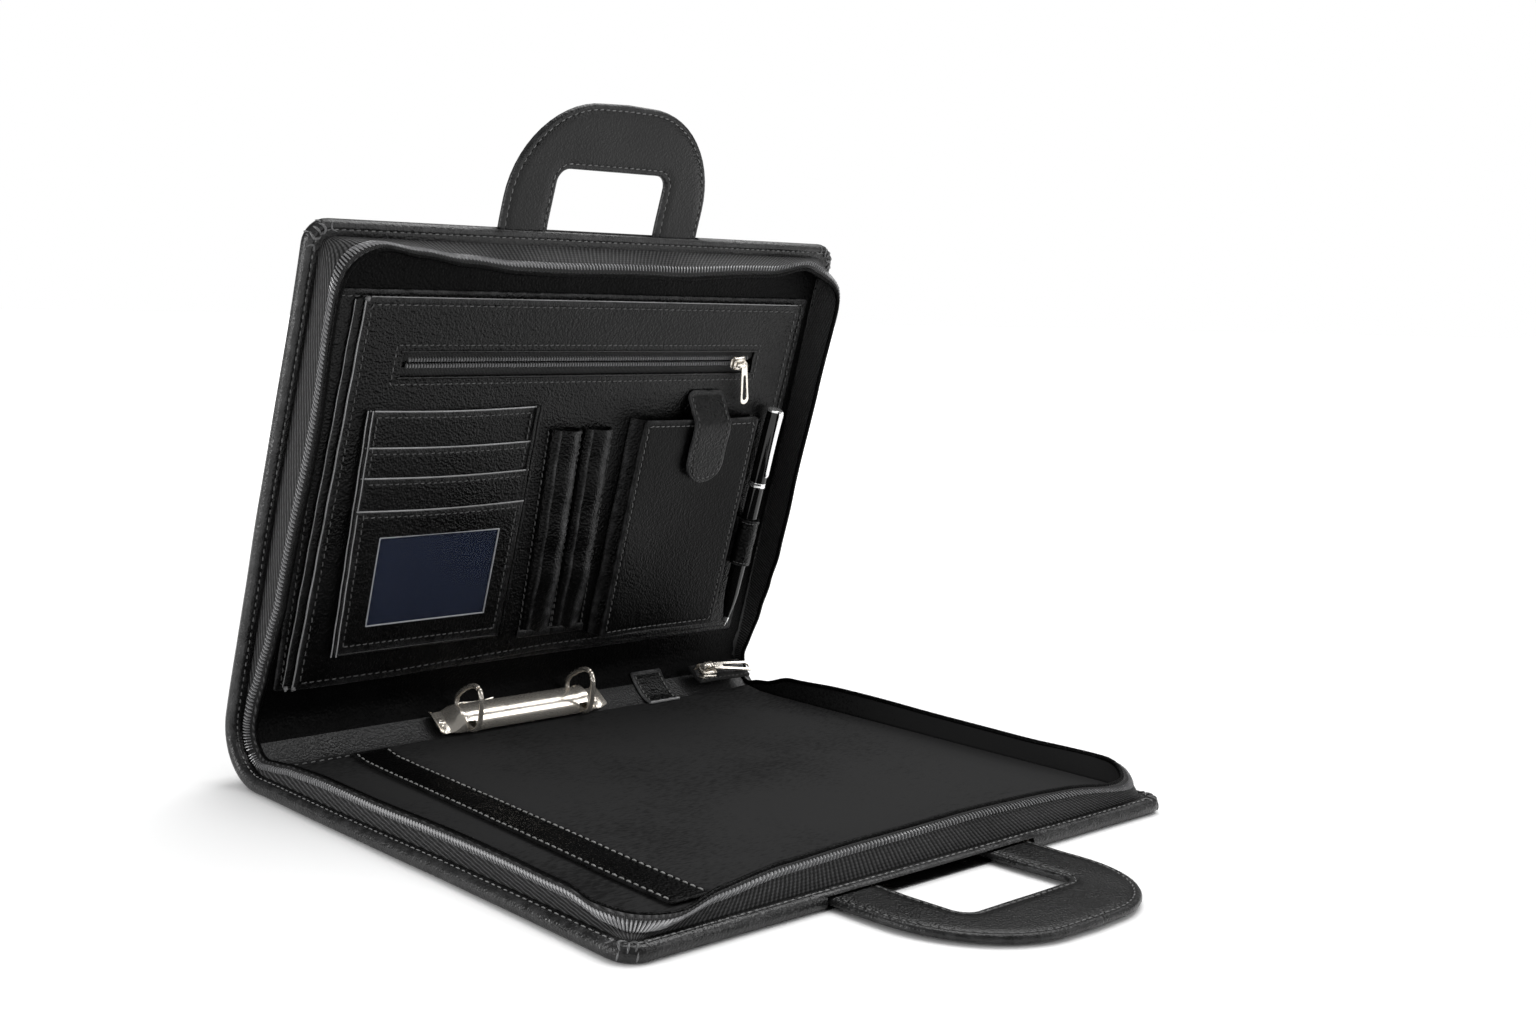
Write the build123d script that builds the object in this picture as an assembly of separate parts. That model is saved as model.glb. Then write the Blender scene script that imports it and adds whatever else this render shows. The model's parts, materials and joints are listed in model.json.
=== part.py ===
from build123d import *
import math
import os

# A zipped leatherette portfolio case standing open. Millimetres, +Z up.
# The origin is the centre of the base cover's underside, X runs along the spine,
# and the spine is on the +Y side.
#
# Every cover is drawn in its own flat frame: x along the spine, t away from the
# spine's crease, n from the outer skin towards the inside of the case.

# ---- driving dimensions -------------------------------------------------------
WIDTH = 350.0            # along the spine
DEPTH = 254.0            # from crease to free edge
SPINE = 54.0             # crease to crease, which is the closed thickness
SPINE_RISE = 36.0        # slope of the spine, crease to crease, as the case stands
SPINE_BULGE = 8.0        # how far the rounded spine stands out behind its creases
OPEN_ANGLE = 75.0        # between the two covers as it stands
CORNER = 12.0            # radius of a cover's two free corners
TIGHT_CORNER = 0.6       # radius of a corner that is nearly square

SKIN = 1.0               # leatherette outside
CORE = 4.4               # board that holds the sliding handle
BOARD = 1.0              # board between the handle and the lining
LINING = 0.6             # lining inside
COVER = SKIN + CORE + BOARD + LINING
SPINE_BOARD = 2.2
SPINE_LINING = 0.8
SPINE_FACE = SKIN + SPINE_BOARD + SPINE_LINING

FOLD_GAP = 1.2           # from a crease to the skin on each side of it
STACK_GAP = 8.0          # from a crease to a cover's stiff layers
SPINE_GAP = 5.0          # from a crease to the spine's stiff layers
BINDING = 3.0            # wall of the wrapped edge
BORDER = 12.0            # width of the turned-in border

GUSSET_INSET = 10.0      # from the cover's edge to the zip wall
GUSSET_WALL = 1.2
GUSSET_RADIUS = 26.0
GUSSET_NEAR = 20.0       # from the crease to the end of the zip wall
GUSSET_TOP = 18.0
TAPE_TOP = 25.0
TEETH_TOP = SPINE / 2 - 0.25
TEETH_WALL = 2.6

HANDLE_HALF = 66.0       # half the handle's outer width
HANDLE_OPEN = 36.0       # half the finger opening's width
HANDLE_GRIP = 33.5       # width of the grip band
HANDLE_THICK = 4.0
HANDLE_REACH = 74.5      # how far a handle stands out when it is pulled right out
HANDLE_ARCH = 50.0       # radius of the arch's outer corners
HANDLE_INNER = 7.0       # radius of the opening's corners
BAR_HALF = 75.5          # the stop bar inside the cover
BAR_DEPTH = 14.0
NECK_DEPTH = 14.0        # shoulders that catch the stop bar
CAVITY_DEPTH = 98.0
RUN_GAP = 1.0            # side clearance of the handle in its slot
STOP_GAP = 0.5           # from the bar to the shoulders, pulled right out
LID_HANDLE_IN = 10.0     # the lid's handle stands this much further in

HEM = (104.0, 127.0, 9.0, 230.0)   # the leather hem along the document pocket's open side
HEM_TILT = 2.4           # it draws towards the middle at the spine end
HEM_THICK = 1.4
POCKET_OPEN_SIDE = 112.0
POCKET_SEWN_SIDE = 163.0
POCKET_THICK = 0.9
POCKET_RADIUS = 20.0

# ---- organiser on the lid (x, t in the lid's frame) ---------------------------
SHEET = (-158.0, 160.0, 12.0, 226.0)
SHEET_THICK = 1.2
PANEL = (-144.0, 152.0, 20.0, 220.0)
PANEL_THICK = 3.6
PANEL_FACE = COVER + SHEET_THICK + PANEL_THICK
ZIP_WINDOW = (-117.0, 123.0, 180.0, 193.0)
ZIP_MIDDLE = (ZIP_WINDOW[2] + ZIP_WINDOW[3]) / 2
CARDS = (-130.0, -27.0)
CARDS_LOW = 36.0
CARD_TOPS = (164.0, 145.5, 130.0, 113.0)
CARD_THICK = 0.8
WINDOW = (-114.0, -40.0, 50.0, 98.0)
SLEEVES = ((-12.0, 7.5), (9.5, 29.0))
SLEEVE_TILT = 3.0
SLEEVE_T = (33.0, 151.0)
SLEEVE_HIGH = 6.5
PHONE = (42.0, 129.0, 28.0, 157.0)
PHONE_HIGH = 9.0
FABRIC = 1.2             # wall of the sewn pockets
FLAP = (77.0, 105.0, 120.0, 171.0)
FLAP_THICK = 1.4
FLAP_BEND = (158.2, 161.0)

PEN_X = 143.0
PEN_T = (24.0, 161.0)
PEN_RADIUS = 4.4
LOOP_T = (65.0, 93.0)
LOOP_RADIUS = 6.4
LOOP_BORE = 5.2

# ---- ring mechanism on the spine ----------------------------------------------
MECH_X = -5.0
MECH_S = SPINE / 2 + 3
MECH_LOW = SPINE_FACE - SPINE_BULGE + 2.0
MECH_LENGTH = 122.0
MECH_HALF = 9.0
MECH_PLATE = 1.0
DOME_LENGTH = 106.0
DOME_HIGH = 8.0
DOME_WALL = 1.0
RING_SPACING = 80.0
RING_RADIUS = 11.5
RING_WIRE = 1.5
RING_CENTRE = MECH_LOW + 14.0
RING_SLOT = 4.0          # half width of the slots that the rings stand in
BLADE_THICK = 0.8
BLADE_PIVOT = 6.8        # from the middle line to a blade's outer edge
BLADE_LENGTH = 96.0
BLADE_SPLIT = 0.2        # half the gap between the two halves
RIVET_RADIUS = 3.0
RIVET_HIGH = 1.2

# ---- case zip's slider, at the right end of the spine --------------------------
TAIL = (121.0, 163.8, 24.0, 38.0)
TAIL_LOW = 4.0
TAIL_THICK = 1.4
SLIDER_X = 130.0
SLIDER_S = (TAIL[2] + TAIL[3]) / 2
PULLER_TILT = -8.0
TAB = (82.0, 106.0, 20.0, 46.0)
TAB_THICK = 1.4

RISE = math.radians(SPINE_RISE)
FOLD = math.radians(OPEN_ANGLE)

BASE = Plane(origin=(0, DEPTH / 2, 0), x_dir=(-1, 0, 0), z_dir=(0, 0, 1))
BACK = Plane(origin=(0, DEPTH / 2, 0), x_dir=(1, 0, 0), z_dir=(0, -math.sin(RISE), math.cos(RISE)))
LID = Plane(
    origin=(0, DEPTH / 2 + SPINE * math.cos(RISE), SPINE * math.sin(RISE)),
    x_dir=(1, 0, 0),
    z_dir=(0, -math.sin(FOLD), -math.cos(FOLD)),
)

parts = {}


def add(name, frame, solid):
    """Place a piece that was drawn in a flat frame."""
    parts[name] = frame.location * solid


# ---- shapes -------------------------------------------------------------------
def slab(x_low, x_high, t_low, t_high, n_low, n_high):
    """A block between two corners."""
    low = (Align.MIN, Align.MIN, Align.MIN)
    block = Box(x_high - x_low, t_high - t_low, n_high - n_low, align=low)
    return Pos(x_low, t_low, n_low) * block


def plate(half, t_low, t_high, radius, n_low, n_high):
    """A plate whose two far corners are rounded."""
    outline = Rectangle(2 * half, t_high - t_low)
    far = outline.vertices().group_by(Axis.Y)[-1]
    outline = fillet(far, radius)
    return Pos(0, (t_low + t_high) / 2, n_low) * extrude(outline, amount=n_high - n_low)


def u_wall(inset, wall, t_low, radius, n_low, n_high):
    """A wall along a cover's two sides and its free edge."""
    half = WIDTH / 2 - inset
    outer = plate(half, t_low, DEPTH - inset, radius, n_low, n_high)
    inner_radius = max(radius - wall, TIGHT_CORNER)
    inner = plate(half - wall, t_low - wall, DEPTH - inset - wall, inner_radius, n_low, n_high)
    return outer - inner


def bow(x_low, x_high, s_low, s_high, depth_low, depth_high):
    """A layer of the rounded spine, between two depths under its outer face."""
    radius = ((SPINE / 2) ** 2 + SPINE_BULGE**2) / (2 * SPINE_BULGE)
    centre = radius - SPINE_BULGE
    outer = Cylinder(radius - depth_low, x_high - x_low)
    inner = Cylinder(radius - depth_high, x_high - x_low)
    ring = Pos((x_low + x_high) / 2, SPINE / 2, centre) * Rot(0, 90, 0) * (outer - inner)
    return ring & slab(x_low, x_high, s_low, s_high, -SPINE_BULGE, centre)


def rod(x, t_low, t_high, n, radius):
    """A round bar along t."""
    bar = Cylinder(radius, t_high - t_low, align=(Align.CENTER, Align.CENTER, Align.MIN))
    return Pos(x, t_low, n) * Rot(-90, 0, 0) * bar


# ---- the two covers -----------------------------------------------------------
def core_board():
    """The board with the pocket that the handle slides in, open at the free edge."""
    body = plate(WIDTH / 2 - BINDING, STACK_GAP, DEPTH - BINDING, CORNER - BINDING, SKIN, SKIN + CORE)
    neck = HANDLE_HALF + RUN_GAP
    pocket = BAR_HALF + RUN_GAP
    body -= slab(-neck, neck, DEPTH - NECK_DEPTH, DEPTH, SKIN, SKIN + CORE)
    body -= slab(-pocket, pocket, DEPTH - CAVITY_DEPTH, DEPTH - NECK_DEPTH, SKIN, SKIN + CORE)
    return body


def edge_binding():
    """The wrapped edge and its turned-in border, with a gap for the handle."""
    half = WIDTH / 2
    wall = plate(half, STACK_GAP, DEPTH, CORNER, SKIN, COVER)
    wall -= plate(half - BINDING, 0, DEPTH - BINDING, CORNER - BINDING, SKIN, COVER)
    border = u_wall(BINDING, BORDER - BINDING, STACK_GAP, CORNER - BINDING, COVER - LINING, COVER)
    neck = HANDLE_HALF + RUN_GAP
    gap = slab(-neck, neck, DEPTH - BINDING, DEPTH, SKIN, SKIN + CORE)
    return wall + border - gap


def zip_teeth():
    """One row of the case zip's teeth."""
    inset = GUSSET_INSET - (TEETH_WALL - GUSSET_WALL) / 2
    return u_wall(inset, TEETH_WALL, GUSSET_NEAR, GUSSET_RADIUS, TAPE_TOP, TEETH_TOP)


def make_cover(name, frame):
    """The layers that both covers share."""
    inside = WIDTH / 2 - BINDING
    end = DEPTH - BINDING
    add(name + "_outer_leather", frame, plate(WIDTH / 2, FOLD_GAP, DEPTH, CORNER, 0, SKIN))
    add(name + "_edge_binding", frame, edge_binding())
    add(name + "_core_board", frame, core_board())
    board = plate(inside, STACK_GAP, end, CORNER - BINDING, SKIN + CORE, COVER - LINING)
    add(name + "_inner_board", frame, board)
    half = WIDTH / 2 - BORDER
    lining = plate(half, STACK_GAP, DEPTH - BORDER, TIGHT_CORNER, COVER - LINING, COVER)
    add(name + "_lining", frame, lining)
    gusset = u_wall(GUSSET_INSET, GUSSET_WALL, GUSSET_NEAR, GUSSET_RADIUS, COVER, GUSSET_TOP)
    add(name + "_gusset", frame, gusset)
    tape = u_wall(GUSSET_INSET, GUSSET_WALL, GUSSET_NEAR, GUSSET_RADIUS, GUSSET_TOP, TAPE_TOP)
    add(name + "_zip_tape", frame, tape)
    add(name + "_zip_teeth", frame, zip_teeth())


def handle(pushed_in):
    """A flat handle with its finger opening, two legs and a stop bar."""
    tip = DEPTH + HANDLE_REACH - pushed_in
    bar_top = DEPTH - NECK_DEPTH - STOP_GAP - pushed_in
    low = SKIN + (CORE - HANDLE_THICK) / 2
    high = low + HANDLE_THICK
    body = plate(HANDLE_HALF, bar_top, tip, HANDLE_ARCH, low, high)
    body -= plate(HANDLE_OPEN, bar_top, tip - HANDLE_GRIP, HANDLE_INNER, low, high)
    bar = slab(-BAR_HALF, BAR_HALF, bar_top - BAR_DEPTH, bar_top, low, high)
    return body + bar


def make_document_pocket():
    """The flat pocket over the base's lining, open along its hemmed side."""
    sides = POCKET_OPEN_SIDE + POCKET_SEWN_SIDE
    outline = Rectangle(sides, HEM[3] - HEM[2])
    sewn = outline.vertices().group_by(Axis.X)[0]
    outline = fillet(sewn.group_by(Axis.Y)[-1], POCKET_RADIUS)
    middle = (POCKET_OPEN_SIDE - POCKET_SEWN_SIDE) / 2
    place = Pos(middle, (HEM[2] + HEM[3]) / 2, COVER)
    add("base_pocket_panel", BASE, place * extrude(outline, amount=POCKET_THICK))
    low = COVER + POCKET_THICK
    centre = Pos((HEM[0] + HEM[1]) / 2, DEPTH / 2, 0)
    hem = slab(*HEM, low, low + HEM_THICK)
    add("base_pocket_hem", BASE, centre * Rot(0, 0, -HEM_TILT) * centre.inverse() * hem)


def make_base():
    make_cover("base", BASE)
    add("base_handle", BASE, handle(0))
    make_document_pocket()


# ---- the lid's organiser ------------------------------------------------------
def make_zip_pocket():
    """The sheets, the zip in its window, the slider and its puller."""
    add("lid_back_sheet", LID, slab(*SHEET, COVER, COVER + SHEET_THICK))
    low = COVER + SHEET_THICK
    panel = slab(*PANEL, low, PANEL_FACE) - slab(*ZIP_WINDOW, low, PANEL_FACE)
    add("lid_organiser_panel", LID, panel)
    tape_top = low + 0.8
    tape = slab(*ZIP_WINDOW, low, tape_top)
    add("pocket_zip_tape", LID, tape)
    coil_half = 1.8
    coil_gap = 4
    coil_top = PANEL_FACE + 0.4
    coil_ends = (ZIP_WINDOW[0] + coil_gap, ZIP_WINDOW[1] - coil_gap)
    coil = slab(*coil_ends, ZIP_MIDDLE - coil_half, ZIP_MIDDLE + coil_half, tape_top, coil_top)
    add("pocket_zip_coil", LID, coil)


def slider_body(centre, middle, half_length, half_width, low, top):
    """The body of a zip slider, with its four upright edges rounded."""
    along = (centre - half_length, centre + half_length)
    body = slab(*along, middle - half_width, middle + half_width, low, top)
    return fillet(body.edges().filter_by(Axis.Z), half_width * 0.4)


def bail(centre, middle, low, half, high, wire):
    """The arch on a slider that holds its puller."""
    depth = wire * 0.8
    arch = slab(centre - half, centre + half, middle - depth, middle + depth, low, low + high)
    inner = half - wire
    return arch - slab(centre - inner, centre + inner, middle - depth, middle + depth, low, low + high - wire)


def make_pocket_slider():
    """The pocket zip's slider, with the puller hung on one leg of its arch."""
    centre = 108.0
    half_length = 4.6
    half_width = 3.6
    low = PANEL_FACE + 0.6
    top = low + 3.2
    body = slider_body(centre, ZIP_MIDDLE, half_length, half_width, low, top)
    arch_half = 3.2
    arch_high = 2.6
    wire = 1.2
    body += bail(centre, ZIP_MIDDLE, top, arch_half, arch_high, wire)
    add("pocket_zip_slider", LID, body)

    pivot = centre + arch_half - wire / 2
    length = 21.5
    half = 3.1
    thick = 0.9
    plate_low = top + 0.2
    tag = Pos(0, -length / 2) * SlotOverall(length + 2 * half, 2 * half, rotation=90)
    tag -= Circle(1.6)
    tag -= Pos(0, 1 - length) * SlotOverall(7, 2.6, rotation=90)
    tilt = 20.0
    puller = Pos(pivot, ZIP_MIDDLE, plate_low) * Rot(0, 0, tilt) * extrude(tag, amount=thick)
    add("pocket_zip_puller", LID, puller)


def make_card_pocket():
    """Four overlapping slots, the front one with a window."""
    for index, top in enumerate(CARD_TOPS):
        low = PANEL_FACE + index * CARD_THICK
        layer = slab(*CARDS, CARDS_LOW, top, low, low + CARD_THICK)
        if index == len(CARD_TOPS) - 1:
            layer -= slab(*WINDOW, low, low + CARD_THICK)
            card_top = low + CARD_THICK * 0.4
            add("id_card", LID, slab(*WINDOW, low, card_top))
            add("id_window_film", LID, slab(*WINDOW, card_top, low + CARD_THICK * 0.7))
        add("card_slot_" + str(index + 1), LID, layer)


def sleeve(x_low, x_high):
    """A pleated pen sleeve, open at the top and closed at the bottom."""
    t_low, t_high = SLEEVE_T
    half = (x_high - x_low) / 2

    def profile(width, high):
        rise = Polyline((-width, 0), (-width, high / 2))
        arch = ThreePointArc((-width, high / 2), (0, high), (width, high / 2))
        fall = Polyline((width, high / 2), (width, 0), (-width, 0))
        return make_face(rise + arch + fall)

    outer = extrude(profile(half, SLEEVE_HIGH), amount=t_high - t_low)
    inner = extrude(profile(half - FABRIC, SLEEVE_HIGH - FABRIC), amount=t_high - t_low)
    shell = outer - Pos(0, 0, -FABRIC) * inner
    lean = Pos((x_low + x_high) / 2, (t_low + t_high) / 2, PANEL_FACE) * Rot(0, 0, SLEEVE_TILT)
    return lean * Pos(0, (t_high - t_low) / 2, 0) * Rot(90, 0, 0) * shell


def make_pockets():
    """The pen sleeves, and the phone pocket with its flap."""
    for (x_low, x_high), name in zip(SLEEVES, ("left", "right")):
        add("pen_sleeve_" + name, LID, sleeve(x_low, x_high))

    x_low, x_high, t_low, t_high = PHONE
    front = PANEL_FACE + PHONE_HIGH
    pocket = slab(*PHONE, PANEL_FACE, front)
    space = slab(x_low + FABRIC, x_high - FABRIC, t_low + FABRIC, t_high, PANEL_FACE, front - FABRIC)
    add("phone_pocket", LID, pocket - space)

    patch_low = t_low + 100
    patch = (FLAP[0] + 6, FLAP[1] - 6, patch_low, patch_low + 16)
    patch_thick = 0.5
    split = front + patch_thick
    add("phone_pocket_patch", LID, slab(*patch, front, split))
    flap_low = split + 0.1 + patch_thick
    add("phone_flap_patch", LID, slab(*patch, split + 0.1, flap_low))

    flap_high = flap_low + FLAP_THICK
    root = PANEL_FACE + 0.1
    tongue_high = FLAP_BEND[1] - FLAP[2]
    tongue = Rectangle(FLAP[1] - FLAP[0], tongue_high)
    tongue = fillet(tongue.vertices().group_by(Axis.Y)[0], 11)
    middle = (FLAP[0] + FLAP[1]) / 2
    flap = Pos(middle, FLAP[2] + tongue_high / 2, flap_low) * extrude(tongue, amount=FLAP_THICK)
    flap += slab(FLAP[0], FLAP[1], *FLAP_BEND, root, flap_high)
    flap += slab(FLAP[0], FLAP[1], FLAP_BEND[1], FLAP[3], root, root + FLAP_THICK)
    add("phone_flap", LID, flap)


def make_pen():
    """The pen and the loop that holds it."""
    height = PANEL_FACE + LOOP_RADIUS
    loop = rod(PEN_X, *LOOP_T, height, LOOP_RADIUS)
    foot_half = LOOP_RADIUS + 2
    foot = slab(PEN_X - foot_half, PEN_X + foot_half, *LOOP_T, PANEL_FACE, PANEL_FACE + 1)
    add("pen_loop", LID, loop + foot - rod(PEN_X, *LOOP_T, height, LOOP_BORE))

    low, high = PEN_T
    tip_length = 6.0
    taper_length = 12.0
    ring_t = 113.0
    ring_length = 3.0
    cap_radius = PEN_RADIUS + 0.4
    tip_radius = 1.6
    upright = (Align.CENTER, Align.CENTER, Align.MIN)
    aim = Rot(-90, 0, 0)
    tip = Cone(0.6, tip_radius, tip_length, align=upright)
    add("pen_tip", LID, Pos(PEN_X, low, height) * aim * tip)
    taper = Cone(tip_radius, PEN_RADIUS, taper_length, align=upright)
    barrel = Pos(PEN_X, low + tip_length, height) * aim * taper
    barrel += rod(PEN_X, low + tip_length + taper_length, ring_t, height, PEN_RADIUS)
    add("pen_barrel", LID, barrel)
    ring_end = ring_t + ring_length
    add("pen_ring", LID, rod(PEN_X, ring_t, ring_end, height, cap_radius + 0.2))
    cap_end = high - 2
    add("pen_cap", LID, rod(PEN_X, ring_end, cap_end, height, cap_radius))
    clip_half = 1.3
    clip_low = height + cap_radius + 0.5
    clip = rod(PEN_X, cap_end, high, height, cap_radius - 0.4)
    clip += slab(PEN_X - clip_half, PEN_X + clip_half, ring_end + 4, high, clip_low, clip_low + 1)
    clip += slab(PEN_X - clip_half, PEN_X + clip_half, cap_end, high, height, clip_low + 1)
    add("pen_clip", LID, clip)


def make_lid():
    make_cover("lid", LID)
    add("lid_handle", LID, handle(LID_HANDLE_IN))
    make_zip_pocket()
    make_pocket_slider()
    make_card_pocket()
    make_pockets()
    make_pen()


# ---- the spine ----------------------------------------------------------------
def dome_bar(width, high, length):
    """A bar with a domed section, along x."""
    arc = ThreePointArc((-width, 0), (0, high), (width, 0))
    section = make_face(arc + Line((width, 0), (-width, 0)))
    return Plane.YZ.location * extrude(section, amount=length / 2, both=True)


def make_ring_mechanism():
    """A two-ring mechanism: plate, domed cover, rivets, and two blades with half rings."""
    middle = MECH_S
    plate_top = MECH_LOW + MECH_PLATE
    end = MECH_LENGTH / 2
    base = slab(MECH_X - end, MECH_X + end, middle - MECH_HALF, middle + MECH_HALF, MECH_LOW, plate_top)
    base = fillet(base.edges().filter_by(Axis.Z), MECH_HALF / 3)
    add("ring_base_plate", BACK, base)

    shell = dome_bar(MECH_HALF, DOME_HIGH, DOME_LENGTH)
    shell -= dome_bar(MECH_HALF - DOME_WALL, DOME_HIGH - DOME_WALL, DOME_LENGTH)
    shell = Pos(MECH_X, middle, plate_top) * shell
    ring_places = [MECH_X - RING_SPACING / 2, MECH_X + RING_SPACING / 2]
    for x in ring_places:
        for side in (1, -1):
            low, high = sorted((middle + side * RING_SLOT, middle + side * (MECH_HALF + 1)))
            shell -= slab(x - RING_SLOT, x + RING_SLOT, low, high, plate_top, plate_top + DOME_HIGH)
    add("ring_cover", BACK, shell)

    rivets = Part()
    for side in (1, -1):
        x = MECH_X + side * (DOME_LENGTH / 2 + MECH_LENGTH / 2) / 2
        head = Cylinder(RIVET_RADIUS, RIVET_HIGH, align=(Align.CENTER, Align.CENTER, Align.MIN))
        rivets += Pos(x, middle, plate_top) * head
    add("ring_rivets", BACK, rivets)

    blade_low = RING_CENTRE - RING_RADIUS - BLADE_THICK / 2
    blade_end = BLADE_LENGTH / 2
    reach = RING_RADIUS + RING_WIRE + 1
    for side, name in ((-1, "front"), (1, "back")):
        low, high = sorted((middle + side * BLADE_SPLIT, middle + side * BLADE_PIVOT))
        half = slab(MECH_X - blade_end, MECH_X + blade_end, low, high, blade_low, blade_low + BLADE_THICK)
        low, high = sorted((middle + side * BLADE_SPLIT, middle + side * reach))
        for x in ring_places:
            ring = Pos(x, middle, RING_CENTRE) * Rot(0, 90, 0) * Torus(RING_RADIUS, RING_WIRE)
            window = slab(x - 3, x + 3, low, high, RING_CENTRE - reach, RING_CENTRE + reach)
            half += ring & window
        add("ring_half_" + name, BACK, half)


def make_case_slider():
    """The case zip's slider and puller, on the zip's tail at the right end."""
    add("zip_tail", BACK, slab(*TAIL, TAIL_LOW, TAIL_LOW + TAIL_THICK))
    middle = SLIDER_S
    low = TAIL_LOW + TAIL_THICK
    top = low + 4.2
    half_length = 6.5
    half_width = 4.8
    body = slider_body(SLIDER_X, middle, half_length, half_width, low, top)
    arch_half = 3.4
    arch_high = 3.8
    wire = 1.2
    body += bail(SLIDER_X, middle, top, arch_half, arch_high, wire)
    add("case_zip_slider", BACK, body)

    length = 33.0
    half = 3.8
    thick = 1.2
    eye_half = 1.5
    bar = 0.6
    eye_end = 4.8
    lift = 0.6
    tag = Rectangle(length + bar, 2 * half)
    tag = Pos((length - bar) / 2, 0) * fillet(tag.vertices().group_by(Axis.X)[-1], half - 0.2)
    tag -= Pos((bar + eye_end) / 2, 0) * Rectangle(eye_end - bar, 2 * eye_half)
    tag -= Pos(length - 8, 0) * SlotOverall(10, 4)
    puller = Pos(SLIDER_X, middle, top + lift) * Rot(0, 0, PULLER_TILT) * extrude(tag, amount=thick)
    add("case_zip_puller", BACK, puller)


def make_spine():
    add("spine_leather", BACK, bow(-WIDTH / 2, WIDTH / 2, FOLD_GAP, SPINE - FOLD_GAP, 0, SKIN))
    inside = WIDTH / 2 - BINDING
    ends = (SPINE_GAP, SPINE - SPINE_GAP)
    board_top = SKIN + SPINE_BOARD
    add("spine_board", BACK, bow(-inside, inside, *ends, SKIN, board_top))
    add("spine_lining", BACK, bow(-inside, inside, *ends, board_top, SPINE_FACE))
    trim = Part()
    for side in (1, -1):
        low, high = sorted((side * inside, side * WIDTH / 2))
        trim += bow(low, high, *ends, SKIN, SPINE_FACE)
    add("spine_edge_trim", BACK, trim)
    outer = WIDTH / 2 - GUSSET_INSET
    gusset_high = SPINE_BULGE
    wall_ends = (STACK_GAP + 1, SPINE - STACK_GAP - 1)
    for side, name in ((-1, "left"), (1, "right")):
        low, high = sorted((side * outer, side * (outer - GUSSET_WALL)))
        wall = bow(low, high, *wall_ends, SPINE_FACE, SPINE_FACE + gusset_high)
        add("end_gusset_" + name, BACK, wall)
    add("keeper_tab", BACK, bow(*TAB, SPINE_FACE, SPINE_FACE + TAB_THICK))
    make_ring_mechanism()
    make_case_slider()


make_base()
make_spine()
make_lid()

os.makedirs("parts", exist_ok=True)
for name, shape in parts.items():
    export_step(shape, os.path.join("parts", name + ".step"))
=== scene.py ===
import json
import math
import random

import bpy
from mathutils import Matrix, Vector, noise


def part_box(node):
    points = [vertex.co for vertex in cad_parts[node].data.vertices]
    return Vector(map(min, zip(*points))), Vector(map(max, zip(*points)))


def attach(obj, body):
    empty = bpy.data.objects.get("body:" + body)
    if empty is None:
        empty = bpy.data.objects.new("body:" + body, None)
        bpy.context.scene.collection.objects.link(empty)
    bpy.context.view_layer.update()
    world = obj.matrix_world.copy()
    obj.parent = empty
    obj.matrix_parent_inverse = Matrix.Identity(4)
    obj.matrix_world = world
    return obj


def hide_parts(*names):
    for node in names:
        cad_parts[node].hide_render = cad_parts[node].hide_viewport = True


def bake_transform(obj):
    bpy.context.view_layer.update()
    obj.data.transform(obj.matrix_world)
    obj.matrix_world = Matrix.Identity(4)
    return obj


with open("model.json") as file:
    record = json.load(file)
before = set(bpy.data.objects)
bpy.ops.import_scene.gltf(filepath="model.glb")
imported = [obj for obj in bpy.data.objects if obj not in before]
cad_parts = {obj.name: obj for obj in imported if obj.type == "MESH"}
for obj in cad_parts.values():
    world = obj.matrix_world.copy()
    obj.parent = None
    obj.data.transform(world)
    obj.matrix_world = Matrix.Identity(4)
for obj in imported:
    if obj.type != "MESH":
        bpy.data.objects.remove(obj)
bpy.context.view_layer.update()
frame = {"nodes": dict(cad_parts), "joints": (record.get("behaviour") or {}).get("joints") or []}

MM = 0.001
random.seed(4)

# ---------------------------------------------------------------- frames
JOINT = {j["name"]: j for j in frame["joints"]}


def corner(node, high):
    return Vector(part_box(node)[high]) / MM


LOW = corner("base_outer_leather", 0)
HIGH = corner("base_outer_leather", 1)
HALF = HIGH.x
FRONT = LOW.y
BASE_CREASE = Vector(JOINT["spine_fold"]["pos_m"]) / MM
LID_CREASE = Vector(JOINT["lid_fold"]["pos_m"]) / MM
UP = Vector(JOINT["lid_handle_slide"]["axis"]).normalized()
IN = Vector(JOINT["pocket_puller_swing"]["axis"]).normalized()
CHORD = (LID_CREASE - BASE_CREASE).normalized()
RISE = Vector((0, -CHORD.z, CHORD.y))
DEPTH = BASE_CREASE.y - FRONT
COVER = corner("base_lining", 1).z


class Track:
    """A line in the YZ plane, measured along its length."""

    def __init__(self, points):
        self.points = points
        self.length = [0.0]
        for a, b in zip(points, points[1:]):
            self.length.append(self.length[-1] + math.hypot(b[0] - a[0], b[1] - a[1]))

    def at(self, s):
        """Place and inward normal, both as (y, z)."""
        length = self.length
        low, high = 0, len(length) - 2
        while low < high:
            middle = (low + high + 1) // 2
            if length[middle] <= s:
                low = middle
            else:
                high = middle - 1
        (ay, az), (by, bz) = self.points[low], self.points[low + 1]
        run = length[low + 1] - length[low]
        part = (s - length[low]) / run
        ty, tz = (by - ay) / run, (bz - az) / run
        ny, nz = self.normals[low]
        my, mz = self.normals[low + 1]
        blend = min(1.0, max(0.0, part))
        ny, nz = ny + (my - ny) * blend, nz + (mz - nz) * blend
        size = math.hypot(ny, nz)
        return (ay + ty * run * part, az + tz * run * part), (ny / size, nz / size)

    def finish(self):
        self.normals = []
        last = len(self.points) - 1
        for i in range(last + 1):
            a = self.points[max(0, i - 1)]
            b = self.points[min(last, i + 1)]
            ty, tz = b[0] - a[0], b[1] - a[1]
            size = math.hypot(ty, tz)
            self.normals.append((-tz / size, ty / size))
        return self


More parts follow.
